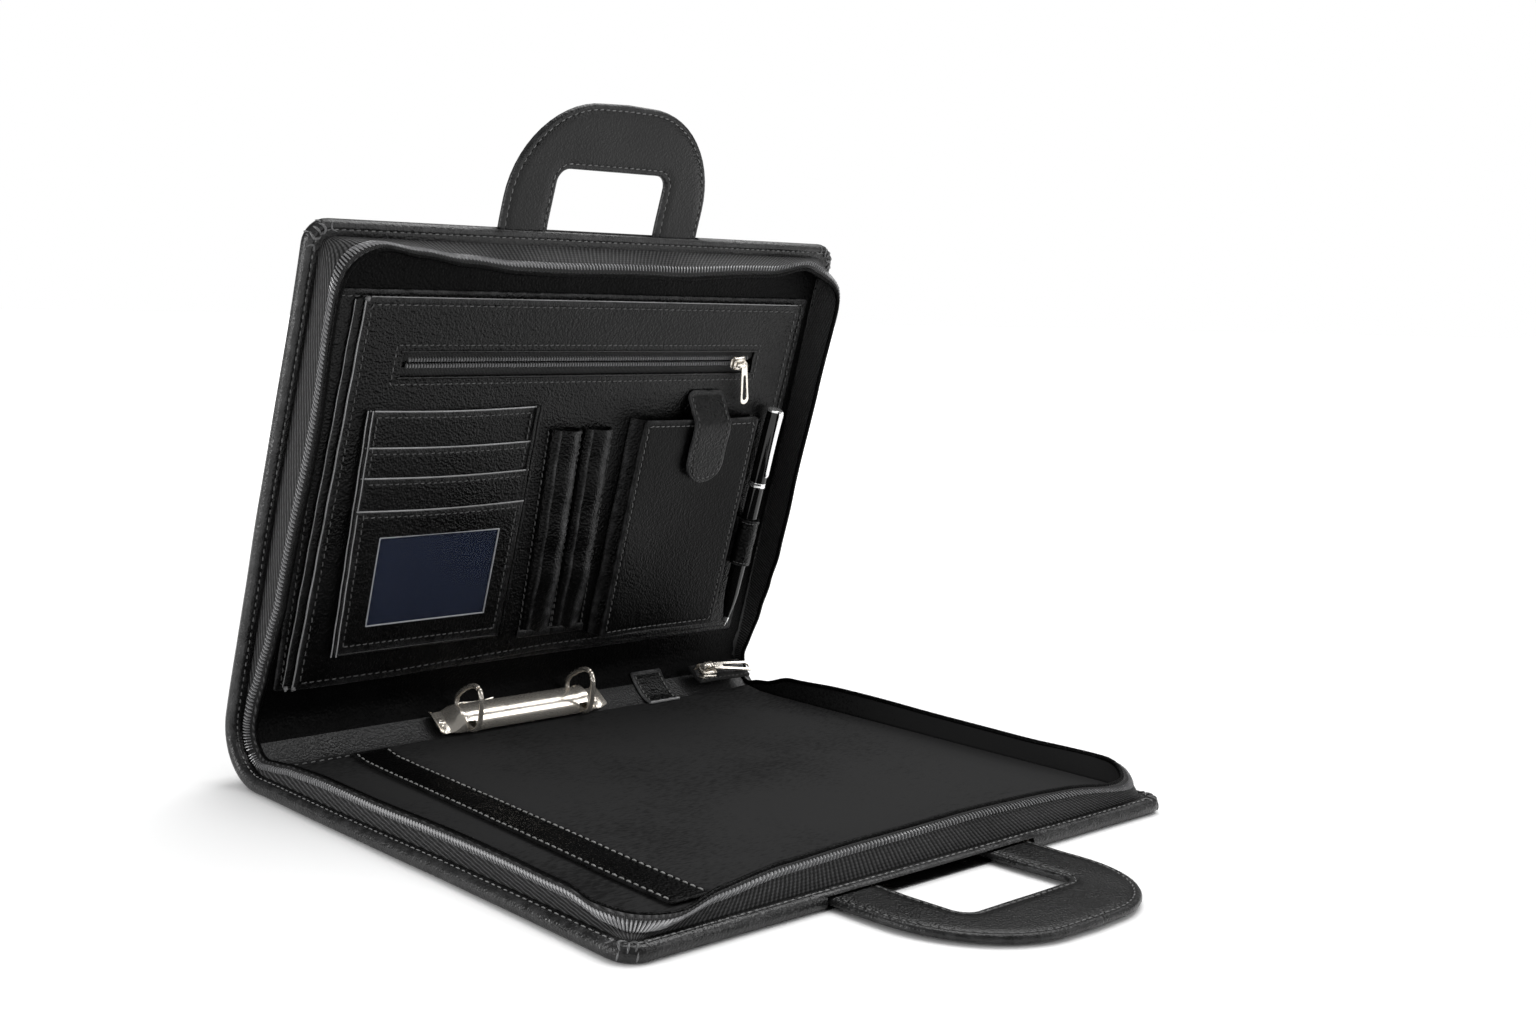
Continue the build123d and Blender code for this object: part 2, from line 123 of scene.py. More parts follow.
def outer_track(radius):
    """The outside of the case: base, rounded spine, lid."""
    meet = LID_CREASE.y - UP.y / UP.z * LID_CREASE.z
    opening = math.acos(-UP.y)
    run = radius / math.tan(opening / 2)
    start = meet - run
    points = [(FRONT - 60, 0.0), (start, 0.0)]
    sweep = math.pi - opening
    steps = 60
    for i in range(1, steps + 1):
        angle = sweep * i / steps
        points.append((start + radius * math.sin(angle), radius * (1 - math.cos(angle))))
    end = points[-1]
    points.append((end[0] + UP.y * 330, end[1] + UP.z * 330))
    track = Track(points).finish()
    track.normals[1] = (0.0, 1.0)
    track.normals[0] = (0.0, 1.0)
    track.normals[-1] = track.normals[-2] = (IN.y, IN.z)
    track.arc_start = start - (FRONT - 60)
    track.arc_end = track.length[-2]
    track.lid_start = (Vector((0, *end)) - LID_CREASE).dot(UP)
    return track


SPINE_RADIUS = 28.0         # of the outside of the spine
SKIN = outer_track(SPINE_RADIUS)


def w_base(t):
    """Distance along the outer track for a distance t from the base's crease."""
    return 60 + DEPTH - t


def w_lid(t):
    return SKIN.arc_end + t - SKIN.lid_start


W_FRONT = w_base(DEPTH)
W_TOP = w_lid(DEPTH)
W_MIDDLE = (SKIN.arc_start + SKIN.arc_end) / 2


def between(table, value):
    """Smooth reading of a short table of (place, amount)."""
    if value <= table[0][0]:
        return table[0][1]
    for (a, p), (b, q) in zip(table, table[1:]):
        if value <= b:
            part = (value - a) / (b - a)
            part = part * part * (3 - 2 * part)
            return p + (q - p) * part
    return table[-1][1]


# how much wider each side of the case is along the outer track
SPINE_SPREAD = [(W_FRONT + 60, 0.0), (W_MIDDLE - 50, 3.0), (W_MIDDLE + 30, 5.0),
                (W_MIDDLE + 110, 3.4), (W_TOP - 20, 0.0)]


def skin(x, w, n):
    """A place over the outer track. The case is a little wider at its packed spine than at its free edges."""
    wide = between(SPINE_SPREAD, w)
    reach = x / HIGH.x
    (y, z), (ny, nz) = SKIN.at(w)
    return Vector((x + wide * reach * abs(reach), y + n * ny, z + n * nz))


def smooth_points(knots, step=1.0):
    """A Catmull-Rom line through the knots."""
    out = []
    for i in range(len(knots) - 1):
        a = knots[max(0, i - 1)]
        b, c = knots[i], knots[i + 1]
        d = knots[min(len(knots) - 1, i + 2)]
        count = max(1, int(math.hypot(c[0] - b[0], c[1] - b[1]) / step))
        for k in range(count):
            t = k / count
            out.append(tuple(
                0.5 * (2 * b[m] + (c[m] - a[m]) * t + (2 * a[m] - 5 * b[m] + 4 * c[m] - d[m]) * t * t
                       + (3 * b[m] - a[m] - 3 * c[m] + d[m]) * t ** 3) for m in (0, 1)))
    out.append(knots[-1])
    return out


def back_yz(s, n):
    p = BASE_CREASE + CHORD * s + RISE * n
    return (p.y, p.z)


def lid_yz(t, n):
    p = LID_CREASE + UP * t + IN * n
    return (p.y, p.z)


def inner_track():
    """The inside of the case: base lining, hollow spine, lid lining."""
    knots = [(FRONT, COVER), (60.0, COVER), (108.0, COVER), (122.0, COVER + 0.1), (134.0, COVER + 0.4)]
    knots += [back_yz(20.0, -2.9), back_yz(27.0, -3.8), back_yz(36.0, -2.9), back_yz(44.0, -0.6)]
    knots += [back_yz(50.0, 2.4), lid_yz(6.0, 7.2), lid_yz(16.0, COVER), lid_yz(60.0, COVER),
              lid_yz(DEPTH, COVER)]
    return Track(smooth_points(knots)).finish()


LINER = inner_track()


def liner_v(y, z):
    """Distance along the inner track of the point nearest to (y, z)."""
    best = min(range(len(LINER.points)),
               key=lambda i: (LINER.points[i][0] - y) ** 2 + (LINER.points[i][1] - z) ** 2)
    return LINER.length[best]


def liner(x, v, n):
    (y, z), (ny, nz) = LINER.at(v)
    return Vector((x, y + n * ny, z + n * nz))


def on_base(x, t, n):
    return Vector((x, BASE_CREASE.y - t, n))


def on_lid(x, t, n):
    return Vector((x, 0, 0)) + LID_CREASE + UP * t + IN * n


def on_back(x, s, n):
    return Vector((x, 0, 0)) + BASE_CREASE + CHORD * s + RISE * n


def ripple(x, w, size, high):
    return high * noise.noise(Vector((x / size, w / size, 1.7)))


# ---------------------------------------------------------------- meshes
class Build:
    """Collects a mesh in flat coordinates (millimetres) and places it."""

    def __init__(self, place):
        self.place = place
        self.co = []
        self.flat = []
        self.faces = []
        self.slots = []
        self.index = {}

    def v(self, x, w, n, wear_and_highlight=0.0):
        key = (round(x, 3), round(w, 3), round(n, 3))
        if key not in self.index:
            self.index[key] = len(self.co)
            self.co.append(self.place(x, w, n) * MM)
            self.flat.append((x * MM, w * MM, wear_and_highlight))
        return self.index[key]

    def raw(self, point, flat=(0, 0, 0)):
        """A vertex that is already placed, in millimetres."""
        self.co.append(Vector(point) * MM)
        self.flat.append(tuple(flat))
        return len(self.co) - 1

    def face(self, ids, slot=0):
        clean = [i for k, i in enumerate(ids) if i != ids[k - 1]]
        if len(set(clean)) >= 3 and len(set(clean)) == len(clean):
            self.faces.append(clean)
            self.slots.append(slot)

    def make(self, name, materials, sharp=40.0):
        mesh = bpy.data.meshes.new(name)
        mesh.from_pydata([tuple(c) for c in self.co], [], self.faces)
        layer = mesh.attributes.new("flat", "FLOAT_VECTOR", "POINT")
        layer.data.foreach_set("vector", [c for f in self.flat for c in f])
        mesh.polygons.foreach_set("material_index", self.slots)
        mesh.polygons.foreach_set("use_smooth", [True] * len(self.faces))
        for material in materials:
            mesh.materials.append(material)
        mesh.update()
        if sharp < 180:
            mesh.set_sharp_from_angle(angle=math.radians(sharp))
        obj = bpy.data.objects.new(name, mesh)
        bpy.context.scene.collection.objects.link(obj)
        return obj


def lines(low, high, step, extra=()):
    """Grid lines from low to high, through every extra value."""
    marks = sorted({round(low, 4), round(high, 4), *[round(e, 4) for e in extra if low < e < high]})
    out = []
    for a, b in zip(marks, marks[1:]):
        size = step((a + b) / 2) if callable(step) else step
        count = max(1, round((b - a) / size))
        out += [a + (b - a) * k / count for k in range(count)]
    return out + [marks[-1]]


def add_plate(build, x, w, profile, corner=2.0, cut=(), holes=(), x_step=8.0, w_step=8.0, extra_w=(),
              extra_x=(), slot=0,
              under=0, station_profile=None):
    """A soft-edged plate. Its profile runs from the top to the underside, as (inset, height, wear)."""
    profile = [p if len(p) == 3 else (*p, 0.0) for p in profile]
    deep = max(profile[0][0], profile[-1][0])
    x0, x1 = x[0] + deep, x[1] - deep
    w0 = w[0] + (0 if "w0" in cut else deep)
    w1 = w[1] - (0 if "w1" in cut else deep)
    xs = lines(x0, x1, x_step, [h for hole in holes for h in hole[:2]] + list(extra_x))
    ws = lines(w0, w1, w_step, [h for hole in holes for h in hole[2:]] + list(extra_w))
    top_n, low_n = profile[0][1], profile[-1][1]

    def empty(i, j):
        cx, cw = (xs[i] + xs[i + 1]) / 2, (ws[j] + ws[j + 1]) / 2
        return any(h[0] < cx < h[1] and h[2] < cw < h[3] for h in holes)

    nx, nw = len(xs) - 1, len(ws) - 1
    top = [[build.v(a, b, top_n, profile[0][2]) for b in ws] for a in xs]
    low = [[build.v(a, b, low_n, profile[-1][2]) for b in ws] for a in xs]
    for i in range(nx):
        for j in range(nw):
            if empty(i, j):
                continue
            build.face([top[i][j], top[i + 1][j], top[i + 1][j + 1], top[i][j + 1]], slot)
            build.face([low[i][j], low[i][j + 1], low[i + 1][j + 1], low[i + 1][j]], under)
            if i + 1 < nx and empty(i + 1, j):
                build.face([top[i + 1][j], low[i + 1][j], low[i + 1][j + 1], top[i + 1][j + 1]], slot)
            if i > 0 and empty(i - 1, j):
                build.face([top[i][j + 1], low[i][j + 1], low[i][j], top[i][j]], slot)
            if j + 1 < nw and empty(i, j + 1):
                build.face([top[i + 1][j + 1], low[i + 1][j + 1], low[i][j + 1], top[i][j + 1]], slot)
            if j > 0 and empty(i, j - 1):
                build.face([top[i][j], low[i][j], low[i + 1][j], top[i + 1][j]], slot)

    fan = 8

    def bend(cx, cw, sx, sw, start):
        found = []
        for k in range(fan + 1):
            angle = start + math.pi / 2 * k / fan

            def where(d, angle=angle):
                c = max(corner, d)
                return (cx + sx * (deep - c) + (c - d) * math.cos(angle),
                        cw + sw * (deep - c) + (c - d) * math.sin(angle))
            found.append((where, (math.cos(angle), math.sin(angle))))
        return found

    def side(points, dx, dw):
        found = []
        for px, pw in points:
            def where(d, px=px, pw=pw):
                return (px + dx * (deep - d), pw + dw * (deep - d))
            found.append((where, (dx, dw)))
        return found

    runs = [[]]
    if "w0" not in cut:
        runs[-1] += side([(a, w0) for a in xs], 0, -1)
        runs[-1] += bend(x1, w0, 1, -1, -math.pi / 2)
    runs[-1] += side([(x1, b) for b in ws], 1, 0)
    if "w1" not in cut:
        runs[-1] += bend(x1, w1, 1, 1, 0)
        runs[-1] += side([(a, w1) for a in reversed(xs)], 0, 1)
        runs[-1] += bend(x0, w1, -1, 1, math.pi / 2)
    else:
        runs.append([])
    runs[-1] += side([(x0, b) for b in reversed(ws)], -1, 0)
    if "w0" not in cut:
        runs[-1] += bend(x0, w0, -1, -1, math.pi)
        if len(runs) == 2:
            runs[0] = runs.pop() + runs[0]
        else:
            runs[0].append(runs[0][0])
    for run in runs:
        if len(run) < 2:
            continue
        rows = []
        for where, way in run:
            shape = profile
            if station_profile:
                shape = station_profile(where, way) or profile
            rows.append([build.v(*where(d), n, wear_and_highlight) for d, n, wear_and_highlight in shape])
        for a, b in zip(rows, rows[1:]):
            for p in range(len(profile) - 1):
                build.face([a[p], a[p + 1], b[p + 1], b[p]], slot)
    for end, j, turn in (("w0", 0, False), ("w1", nw, True)):
        if end not in cut:
            continue
        for i in range(nx):
            quad = [top[i][j], top[i + 1][j], low[i + 1][j], low[i][j]]
            build.face(quad if turn else quad[::-1], slot)
        for edge, sign in ((x1, 1), (x0, -1)):
            cap = [build.v(edge + sign * (deep - d), ws[j], n, wear_and_highlight) for d, n, wear_and_highlight in profile]
            build.face(cap if turn == (sign > 0) else cap[::-1], slot)


def strip(build, rows, closed=False, slot=0, caps=False):
    """Quads between rows of vertex ids."""
    for a, b in zip(rows, rows[1:]):
        count = len(a)
        for k in range(count if closed else count - 1):
            m = (k + 1) % count
            build.face([a[k], a[m], b[m], b[k]], slot if isinstance(slot, int) else slot[k])
    if caps:
        build.face(list(reversed(rows[0])), slot if isinstance(slot, int) else slot[0])
        build.face(list(rows[-1]), slot if isinstance(slot, int) else slot[0])


def tube(build, points, radius, sides=8, closed=False, slot=0):
    """A round bar through world points in millimetres. A radius may change along it."""
    count = len(points)
    rows = []
    previous = None
    for i, p in enumerate(points):
        a = points[i - 1] if (i > 0 or closed) else points[i]
        b = points[(i + 1) % count] if (i < count - 1 or closed) else points[i]
        way = (Vector(b) - Vector(a)).normalized()
        if previous is None:
            seed = Vector((0, 0, 1)) if abs(way.z) < 0.9 else Vector((1, 0, 0))
            previous = way.cross(seed).normalized()
        across = (previous - way * previous.dot(way)).normalized()
        other = way.cross(across)
        previous = across
        r = radius(i / max(1, count - 1)) if callable(radius) else radius
        rows.append([build.raw(Vector(p) + across * (r * math.cos(2 * math.pi * k / sides))
                               + other * (r * math.sin(2 * math.pi * k / sides)), (i * MM, k * MM, 0))
                     for k in range(sides)])
    if closed:
        rows.append(rows[0])
        strip(build, rows, closed=True, slot=slot)
    else:
        strip(build, rows, closed=True, slot=slot, caps=True)


def lathe(build, place, stations, sides=32, slot=0):
    """A turned solid: (distance along its axis, radius) pairs, placed by place(along, across, up)."""
    rows = []
    for along, radius in stations:
        row = []
        for k in range(sides):
            angle = 2 * math.pi * k / sides
            row.append(build.raw(place(along, radius * math.cos(angle), radius * math.sin(angle)),
                                 (along * MM, angle * MM, 0)))
        rows.append(row)
    strip(build, rows, closed=True, slot=slot, caps=True)


def walk(points, pitch, start=0.0, end=0.0):
    """Evenly spaced places along a polyline, with its direction there."""
    runs = []
    total = 0.0
    for a, b in zip(points, points[1:]):
        size = math.dist(a, b)
        runs.append((total, size, a, b))
        total += size
    count = int((total - start - end) / pitch)
    slack = (total - start - end - count * pitch) / 2
    found = []
    k = 0
    for i in range(count + 1):
        s = start + slack + i * pitch
        while k < len(runs) - 1 and runs[k][0] + runs[k][1] < s:
            k += 1
        begin, size, a, b = runs[k]
        part = (s - begin) / size if size else 0
        found.append((tuple(p + (q - p) * part for p, q in zip(a, b)),
                      tuple((q - p) / size for p, q in zip(a, b))))
    return found


def stitch_line(build, points, n, pitch=4.0, size=2.9, thick=0.36, lean=0.10, slot=0):
    """Thread along flat points, each stitch a small bar that dips into the leather at both ends."""
    for (x, w), (dx, dw) in walk(points, pitch, 1.0, 1.0):
        turn = lean + random.uniform(-0.05, 0.05)
        ux, uw = dx * math.cos(turn) - dw * math.sin(turn), dx * math.sin(turn) + dw * math.cos(turn)
        long = size * random.uniform(0.9, 1.08) / 2
        high = n(x, w) if callable(n) else n
        rows = []
        for part, lift, r in ((-1.0, -0.32, 0.45), (-0.72, 0.02, 0.95), (0.0, 0.16, 1.0), (0.72, 0.02, 0.95),
                              (1.0, -0.32, 0.45)):
            cx, cw = x + ux * long * part, w + uw * long * part
            row = []
            for k in range(6):
                angle = math.pi / 3 * k
                across, up = thick * r * math.cos(angle), thick * r * math.sin(angle)
                point = build.place(cx - uw * across, cw + ux * across, high + lift + up)
                row.append(build.raw(point, (x * MM, w * MM, 0)))
            rows.append(row)
        strip(build, rows, closed=True, slot=slot, caps=True)


# ---------------------------------------------------------------- materials
def node(tree, kind, **values):
    made = tree.nodes.new(kind)
    for name, value in values.items():
        if name in made.inputs:
            made.inputs[name].default_value = value
        else:
            setattr(made, name, value)
    return made


def link(tree, a, out, b, into):
    tree.links.new(a.outputs[out], b.inputs[into])


def start_material(name, rough, specular=0.5, metallic=0.0):
    material = bpy.data.materials.new(name)
    material.use_nodes = True
    tree = material.node_tree
    shader = tree.nodes["Principled BSDF"]
    shader.inputs["Roughness"].default_value = rough
    shader.inputs["Specular IOR Level"].default_value = specular
    shader.inputs["Metallic"].default_value = metallic
    return material, tree, shader


def solid_coords(tree, scale):
    read = node(tree, "ShaderNodeTexCoord")
    mapping = node(tree, "ShaderNodeMapping")
    mapping.inputs["Scale"].default_value = scale if isinstance(scale, tuple) else (scale,) * 3
    link(tree, read, "Object", mapping, "Vector")
    return mapping


def clouds(tree, scale, detail):
    """Noise over the piece's own solid coordinates, in metres."""
    spot = node(tree, "ShaderNodeTexCoord")
    made = node(tree, "ShaderNodeTexNoise", Scale=scale, Detail=detail)
    link(tree, spot, "Object", made, "Vector")
    return made


def noise_over(tree, place, scale, detail):
    """Noise over scaled coordinates."""
    made = node(tree, "ShaderNodeTexNoise", Scale=scale, Detail=detail)
    link(tree, place, 0, made, "Vector")
    return made


def set_colour(tree, shader, source, shade):
    """Base colour from a ramp over a node's value."""
    link(tree, source, 0, shade, 0)
    link(tree, shade, 0, shader, "Base Color")


def set_gloss(tree, shader, source, low, high, span=(0.0, 1.0)):
    """Roughness from low to high as a node's value crosses the span."""
    made = node(tree, "ShaderNodeMapRange")
    for name, value in zip(("From Min", "From Max", "To Min", "To Max"), (*span, low, high)):
        made.inputs[name].default_value = value
    link(tree, source, 0, made, 0)
    link(tree, made, 0, shader, "Roughness")


def set_bump(tree, shader, source, strength, distance):
    """Surface relief from a node's value."""
    made = node(tree, "ShaderNodeBump", Strength=strength, Distance=distance)
    link(tree, source, 0, made, "Height")
    link(tree, made, 0, shader, "Normal")


def ramp(tree, low, high, a, b):
    made = node(tree, "ShaderNodeValToRGB")
    made.color_ramp.elements[0].position = low
    made.color_ramp.elements[1].position = high
    made.color_ramp.elements[0].color = (*a, 1)
    made.color_ramp.elements[1].color = (*b, 1)
    return made


def mix(tree, a, b):
    """A colour mix; its factor is input 0, its colours inputs 6 and 7, its result output 2."""
    made = node(tree, "ShaderNodeMix", data_type="RGBA")
    made.inputs[0].default_value = 0.0
    made.inputs[6].default_value = (*a, 1)
    made.inputs[7].default_value = (*b, 1)
    return made


def maths(tree, operation, a=0.5, b=0.5, clamp=False):
    made = node(tree, "ShaderNodeMath", operation=operation, use_clamp=clamp)
    made.inputs[0].default_value = a
    made.inputs[1].default_value = b
    return made


def leather(name, tone=0.010, grain=1.0, rough=0.42, specular=0.42, depth=1.0, worn_and_highlit=0.05):
    """Pebbled leatherette: cells of grain, finer pores, and edges painted paler, partly scuffing and partly a
    painted edge highlight.
    """
    material, tree, shader = start_material(name, rough, specular)
    place = solid_coords(tree, 1000.0 / grain)
    cells = node(tree, "ShaderNodeTexVoronoi", feature="SMOOTH_F1", Scale=1.0, Smoothness=0.6)
    link(tree, place, 0, cells, "Vector")
    bend = noise_over(tree, place, 0.55, 3.0)
    fine = noise_over(tree, place, 2.6, 2.0)
    cloud = noise_over(tree, solid_coords(tree, 28.0), 1.0, 4.0)

    pores = maths(tree, "MULTIPLY_ADD", b=0.35)
    link(tree, fine, 0, pores, 0)
    link(tree, cells, "Distance", pores, 2)
    height = maths(tree, "MULTIPLY_ADD", b=0.9)
    link(tree, bend, 0, height, 0)
    link(tree, pores, 0, height, 2)
    set_bump(tree, shader, height, 0.85 * depth, 0.00034 * grain)

    shade = ramp(tree, 0.30, 0.75, (tone * 0.72,) * 3, (tone * 1.30, tone * 1.30, tone * 1.34))
    link(tree, cloud, 0, shade, 0)
    # the third flat coordinate marks the edges painted paler, partly scuffing and partly a painted edge
    # highlight, broken up by specks
    read = node(tree, "ShaderNodeAttribute", attribute_name="flat")
    split = node(tree, "ShaderNodeSeparateXYZ")
    link(tree, read, "Vector", split, 0)
    patch = maths(tree, "MULTIPLY", clamp=True)
    link(tree, split, 2, patch, 0)
    spotty = ramp(tree, 0.38, 0.68, (0.25,) * 3, (1.0,) * 3)
    link(tree, noise_over(tree, place, 0.22, 5.0), 0, spotty, 0)
    link(tree, spotty, 0, patch, 1)
    rubbed_and_highlit = mix(tree, (0, 0, 0), (worn_and_highlit, worn_and_highlit, worn_and_highlit * 1.02))
    link(tree, shade, 0, rubbed_and_highlit, 6)
    link(tree, patch, 0, rubbed_and_highlit, 0)
    link(tree, rubbed_and_highlit, 2, shader, "Base Color")
    set_gloss(tree, shader, cloud, rough - 0.06, rough + 0.14, (0.3, 0.7))
    return material


def suede(name, tone=0.020):
    """Short brushed nap with faint streaks."""
    material, tree, shader = start_material(name, 0.85, 0.03)
    streak = noise_over(tree, solid_coords(tree, (260.0, 900.0, 900.0)), 1.0, 4.0)
    add = maths(tree, "ADD")
    link(tree, streak, 0, add, 0)
    link(tree, clouds(tree, 9.0, 3.0), 0, add, 1)
    set_colour(tree, shader, add, ramp(tree, 0.72, 1.0, (tone * 0.45, tone * 0.45, tone * 0.46),
                                       (tone * 1.6, tone * 1.6, tone * 1.62)))
    set_bump(tree, shader, clouds(tree, 3200.0, 2.0), 0.5, 0.00012)
    shader.inputs["Sheen Weight"].default_value = 0.03
    shader.inputs["Sheen Roughness"].default_value = 0.5
    return material


def twill(name, pitch=1.25, gap_shade=0.006, rib_highlight=0.085):
    """Ribs of woven cloth, read along the piece's own flat coordinates in metres. The rib crests are painted
    paler and the gaps between them darker: a painted highlight and painted shade of the weave.
    """
    material, tree, shader = start_material(name, 0.62, 0.35)
    read = node(tree, "ShaderNodeAttribute", attribute_name="flat")
    split = node(tree, "ShaderNodeSeparateXYZ")
    link(tree, read, "Vector", split, 0)
    waves = []
    for axis, period in ((0, pitch), (1, pitch * 0.62)):
        turns = maths(tree, "MULTIPLY", b=2 * math.pi * 1000 / period)
        link(tree, split, axis, turns, 0)
        waves.append(maths(tree, "SINE"))
        link(tree, turns, 0, waves[-1], 0)
    rib, weave = waves
    high = maths(tree, "MULTIPLY_ADD", b=0.30)
    link(tree, weave, 0, high, 0)
    link(tree, rib, 0, high, 2)
    shade = node(tree, "ShaderNodeMapRange")
    shade.inputs["From Min"].default_value = -0.5
    shade.inputs["From Max"].default_value = 1.2
    link(tree, high, 0, shade, 0)
    broken = maths(tree, "MULTIPLY", clamp=True)
    lift = maths(tree, "MULTIPLY", b=1.9)
    link(tree, clouds(tree, 700.0, 3.0), 0, lift, 0)
    link(tree, shade, 0, broken, 0)
    link(tree, lift, 0, broken, 1)
    colour = mix(tree, (gap_shade,) * 3, (rib_highlight, rib_highlight, rib_highlight * 1.02))
    link(tree, broken, 0, colour, 0)
    link(tree, colour, 2, shader, "Base Color")
    set_bump(tree, shader, high, 0.8, 0.00018)
    shader.inputs["Sheen Weight"].default_value = 0.03
    return material


def plastic(name, tone, rough, specular=0.5, speck=0.0, pits=0.12):
    """Moulded, lacquered or spun stuff: cloudy tone and gloss, fine pits, and a lift of its light spots."""
    material, tree, shader = start_material(name, rough, specular)
    cloud = clouds(tree, 420.0, 3.0)
    shade = ramp(tree, 0.35, 0.7, tuple(c * 0.85 for c in tone), tuple(c * 1.2 + speck for c in tone))
    set_colour(tree, shader, cloud, shade)
    set_gloss(tree, shader, cloud, rough * 0.8, rough * 1.25)
    set_bump(tree, shader, cloud, pits, 0.00008)
    return material


def metal(name, tone=(0.86, 0.83, 0.78), rough=0.16):
    """Bright plate with faint handling marks and fine polishing lines."""
    material, tree, shader = start_material(name, rough, 0.5, 0.82)
    marks = clouds(tree, 160.0, 5.0)
    set_gloss(tree, shader, marks, rough * 0.8, rough * 1.3, (0.35, 0.75))
    set_colour(tree, shader, marks, ramp(tree, 0.3, 0.75, tuple(c * 0.95 for c in tone), tone))
    hair = noise_over(tree, solid_coords(tree, (300.0, 5000.0, 5000.0)), 1.0, 1.0)
    set_bump(tree, shader, hair, 0.05, 0.00005)
    return material


LEATHER = leather("leather_cover", tone=0.004, grain=1.4, rough=0.32, specular=0.32, depth=0.7, worn_and_highlit=0.02)
EDGE = leather("leather_edge", tone=0.003, grain=1.1, rough=0.27, specular=0.36, depth=0.7, worn_and_highlit=0.03)
LINING = leather("leather_lining", tone=0.002, grain=1.3, rough=0.34, specular=0.05, depth=1.0, worn_and_highlit=0.02)
PANEL = leather("leather_panel", tone=0.002, grain=1.2, rough=0.26, specular=0.20, depth=1.0, worn_and_highlit=0.05)
POCKET = leather("leather_pocket", tone=0.002, grain=1.2, rough=0.30, specular=0.10, depth=0.6, worn_and_highlit=0.04)
HANDLE = leather("leather_handle", tone=0.0025, grain=1.1, rough=0.27, specular=0.28, depth=0.7, worn_and_highlit=0.03)
# a pale copy of the leather, far paler than the cover, for thin tubes that paint a highlight along turned
# edges
PAINTED_HIGHLIGHT_LEATHER = leather("leather_painted_highlight", tone=0.30, grain=1.5, rough=0.30, specular=0.60, depth=0.5, worn_and_highlit=0.05)
TAB = leather("leather_tab", tone=0.004, grain=1.3, rough=0.32, specular=0.40, worn_and_highlit=0.20)
SPINE = leather("leather_spine", tone=0.020, grain=1.2, rough=0.36, specular=0.60, depth=1.1, worn_and_highlit=0.02)
SUEDE = suede("suede", 0.012)
TWILL = twill("twill", pitch=2.0, gap_shade=0.001, rib_highlight=0.058)
INNER_TWILL = twill("twill_inner", pitch=1.6, gap_shade=0.002, rib_highlight=0.045)
TAPE = twill("zip_tape", pitch=0.9, gap_shade=0.003, rib_highlight=0.02)
# the teeth and coil are black plastic coloured mid grey, a painted highlight standing in for their glints
TEETH = plastic("zip_teeth", (0.17, 0.17, 0.174), 0.25, 0.7)
COIL = plastic("zip_coil", (0.13, 0.13, 0.132), 0.30, 0.6)
FOLD = leather("leather_fold", tone=0.085, grain=1.0, rough=0.28, specular=0.6, depth=0.6, worn_and_highlit=0.10)
# one black thread in four tones: the paler copies are a painted highlight on stitches that catch more of the
# lamps
THREAD = plastic("thread", (0.065, 0.065, 0.065), 0.55, 0.4, 0.03)
SIDE_THREAD_PAINTED_LIGHTER = plastic("thread_side_painted_lighter", (0.11, 0.11, 0.11), 0.55, 0.4, 0.04)
EDGE_THREAD_PAINTED_PALE = plastic("thread_edge_painted_pale", (0.20, 0.20, 0.20), 0.55, 0.4, 0.05)
THREAD_PAINTED_HIGHLIGHT = plastic("thread_painted_highlight", (0.22, 0.22, 0.215), 0.6, 0.4, 0.05)
NICKEL = metal("nickel", (0.98, 0.92, 0.83), 0.20)
CHROME = metal("pen_chrome", (0.9, 0.9, 0.9), 0.08)
BOARD = plastic("grey_board", (0.33, 0.29, 0.24), 0.9, 0.2)
CARD = plastic("blue_card", (0.003, 0.0045, 0.0125), 0.6, 0.03, 0.0, 0.0)
PEN = plastic("pen_lacquer", (0.003, 0.003, 0.003), 0.07, 0.5)
HOOK = plastic("hook_tape", (0.012, 0.012, 0.012), 0.9, 0.2)


def clear_film():
    """The card window's soft film."""
    material, tree, shader = start_material("clear_film", 0.12, 0.15)
    shader.inputs["Base Color"].default_value = (0.18, 0.22, 0.34, 1)
    shader.inputs["Alpha"].default_value = 0.05
    set_gloss(tree, shader, clouds(tree, 40.0, 2.0), 0.08, 0.22)
    return material


FILM = clear_film()
FILM_EDGE = plastic("film_edge", (0.35, 0.36, 0.38), 0.3, 0.5)


# ---------------------------------------------------------------- camera, light, floor
CAMERA_AT = Vector((-0.570739, -0.565716, 0.23825))
CAMERA_TURN = (37.318, 6.227, 1.061)        # yaw, pitch and roll in degrees
CAMERA_LENS = 39.681                        # on a sensor 36 mm wide
CAMERA_SHIFT = (0.1745, -0.0143)


def add_camera():
    yaw, pitch, roll = (math.radians(a) for a in CAMERA_TURN)
    view = Vector((math.sin(yaw) * math.cos(pitch), math.cos(yaw) * math.cos(pitch), -math.sin(pitch)))
    side = Vector((math.cos(yaw), -math.sin(yaw), 0))
    above = side.cross(view)
    right = side * math.cos(roll) + above * math.sin(roll)
    above = above * math.cos(roll) - side * math.sin(roll)
    data = bpy.data.cameras.new("camera")
    data.lens = CAMERA_LENS
    data.sensor_width = 36.0
    data.shift_x, data.shift_y = CAMERA_SHIFT
    data.clip_start = 0.02
    camera = bpy.data.objects.new("camera", data)
    turn = Matrix((right, above, -view)).transposed().to_4x4()
    camera.matrix_world = Matrix.Translation(CAMERA_AT) @ turn
    bpy.context.scene.collection.objects.link(camera)
    bpy.context.scene.camera = camera


def add_light(name, place, aim, size, power, shape=1.0):
    data = bpy.data.lights.new(name, "AREA")
    data.shape = "RECTANGLE"
    data.size = size
    data.size_y = size * shape
    data.energy = power
    lamp = bpy.data.objects.new(name, data)
    lamp.location = place
    lamp.rotation_euler = (Vector(aim) - Vector(place)).to_track_quat("-Z", "Y").to_euler()
    bpy.context.scene.collection.objects.link(lamp)
    return lamp


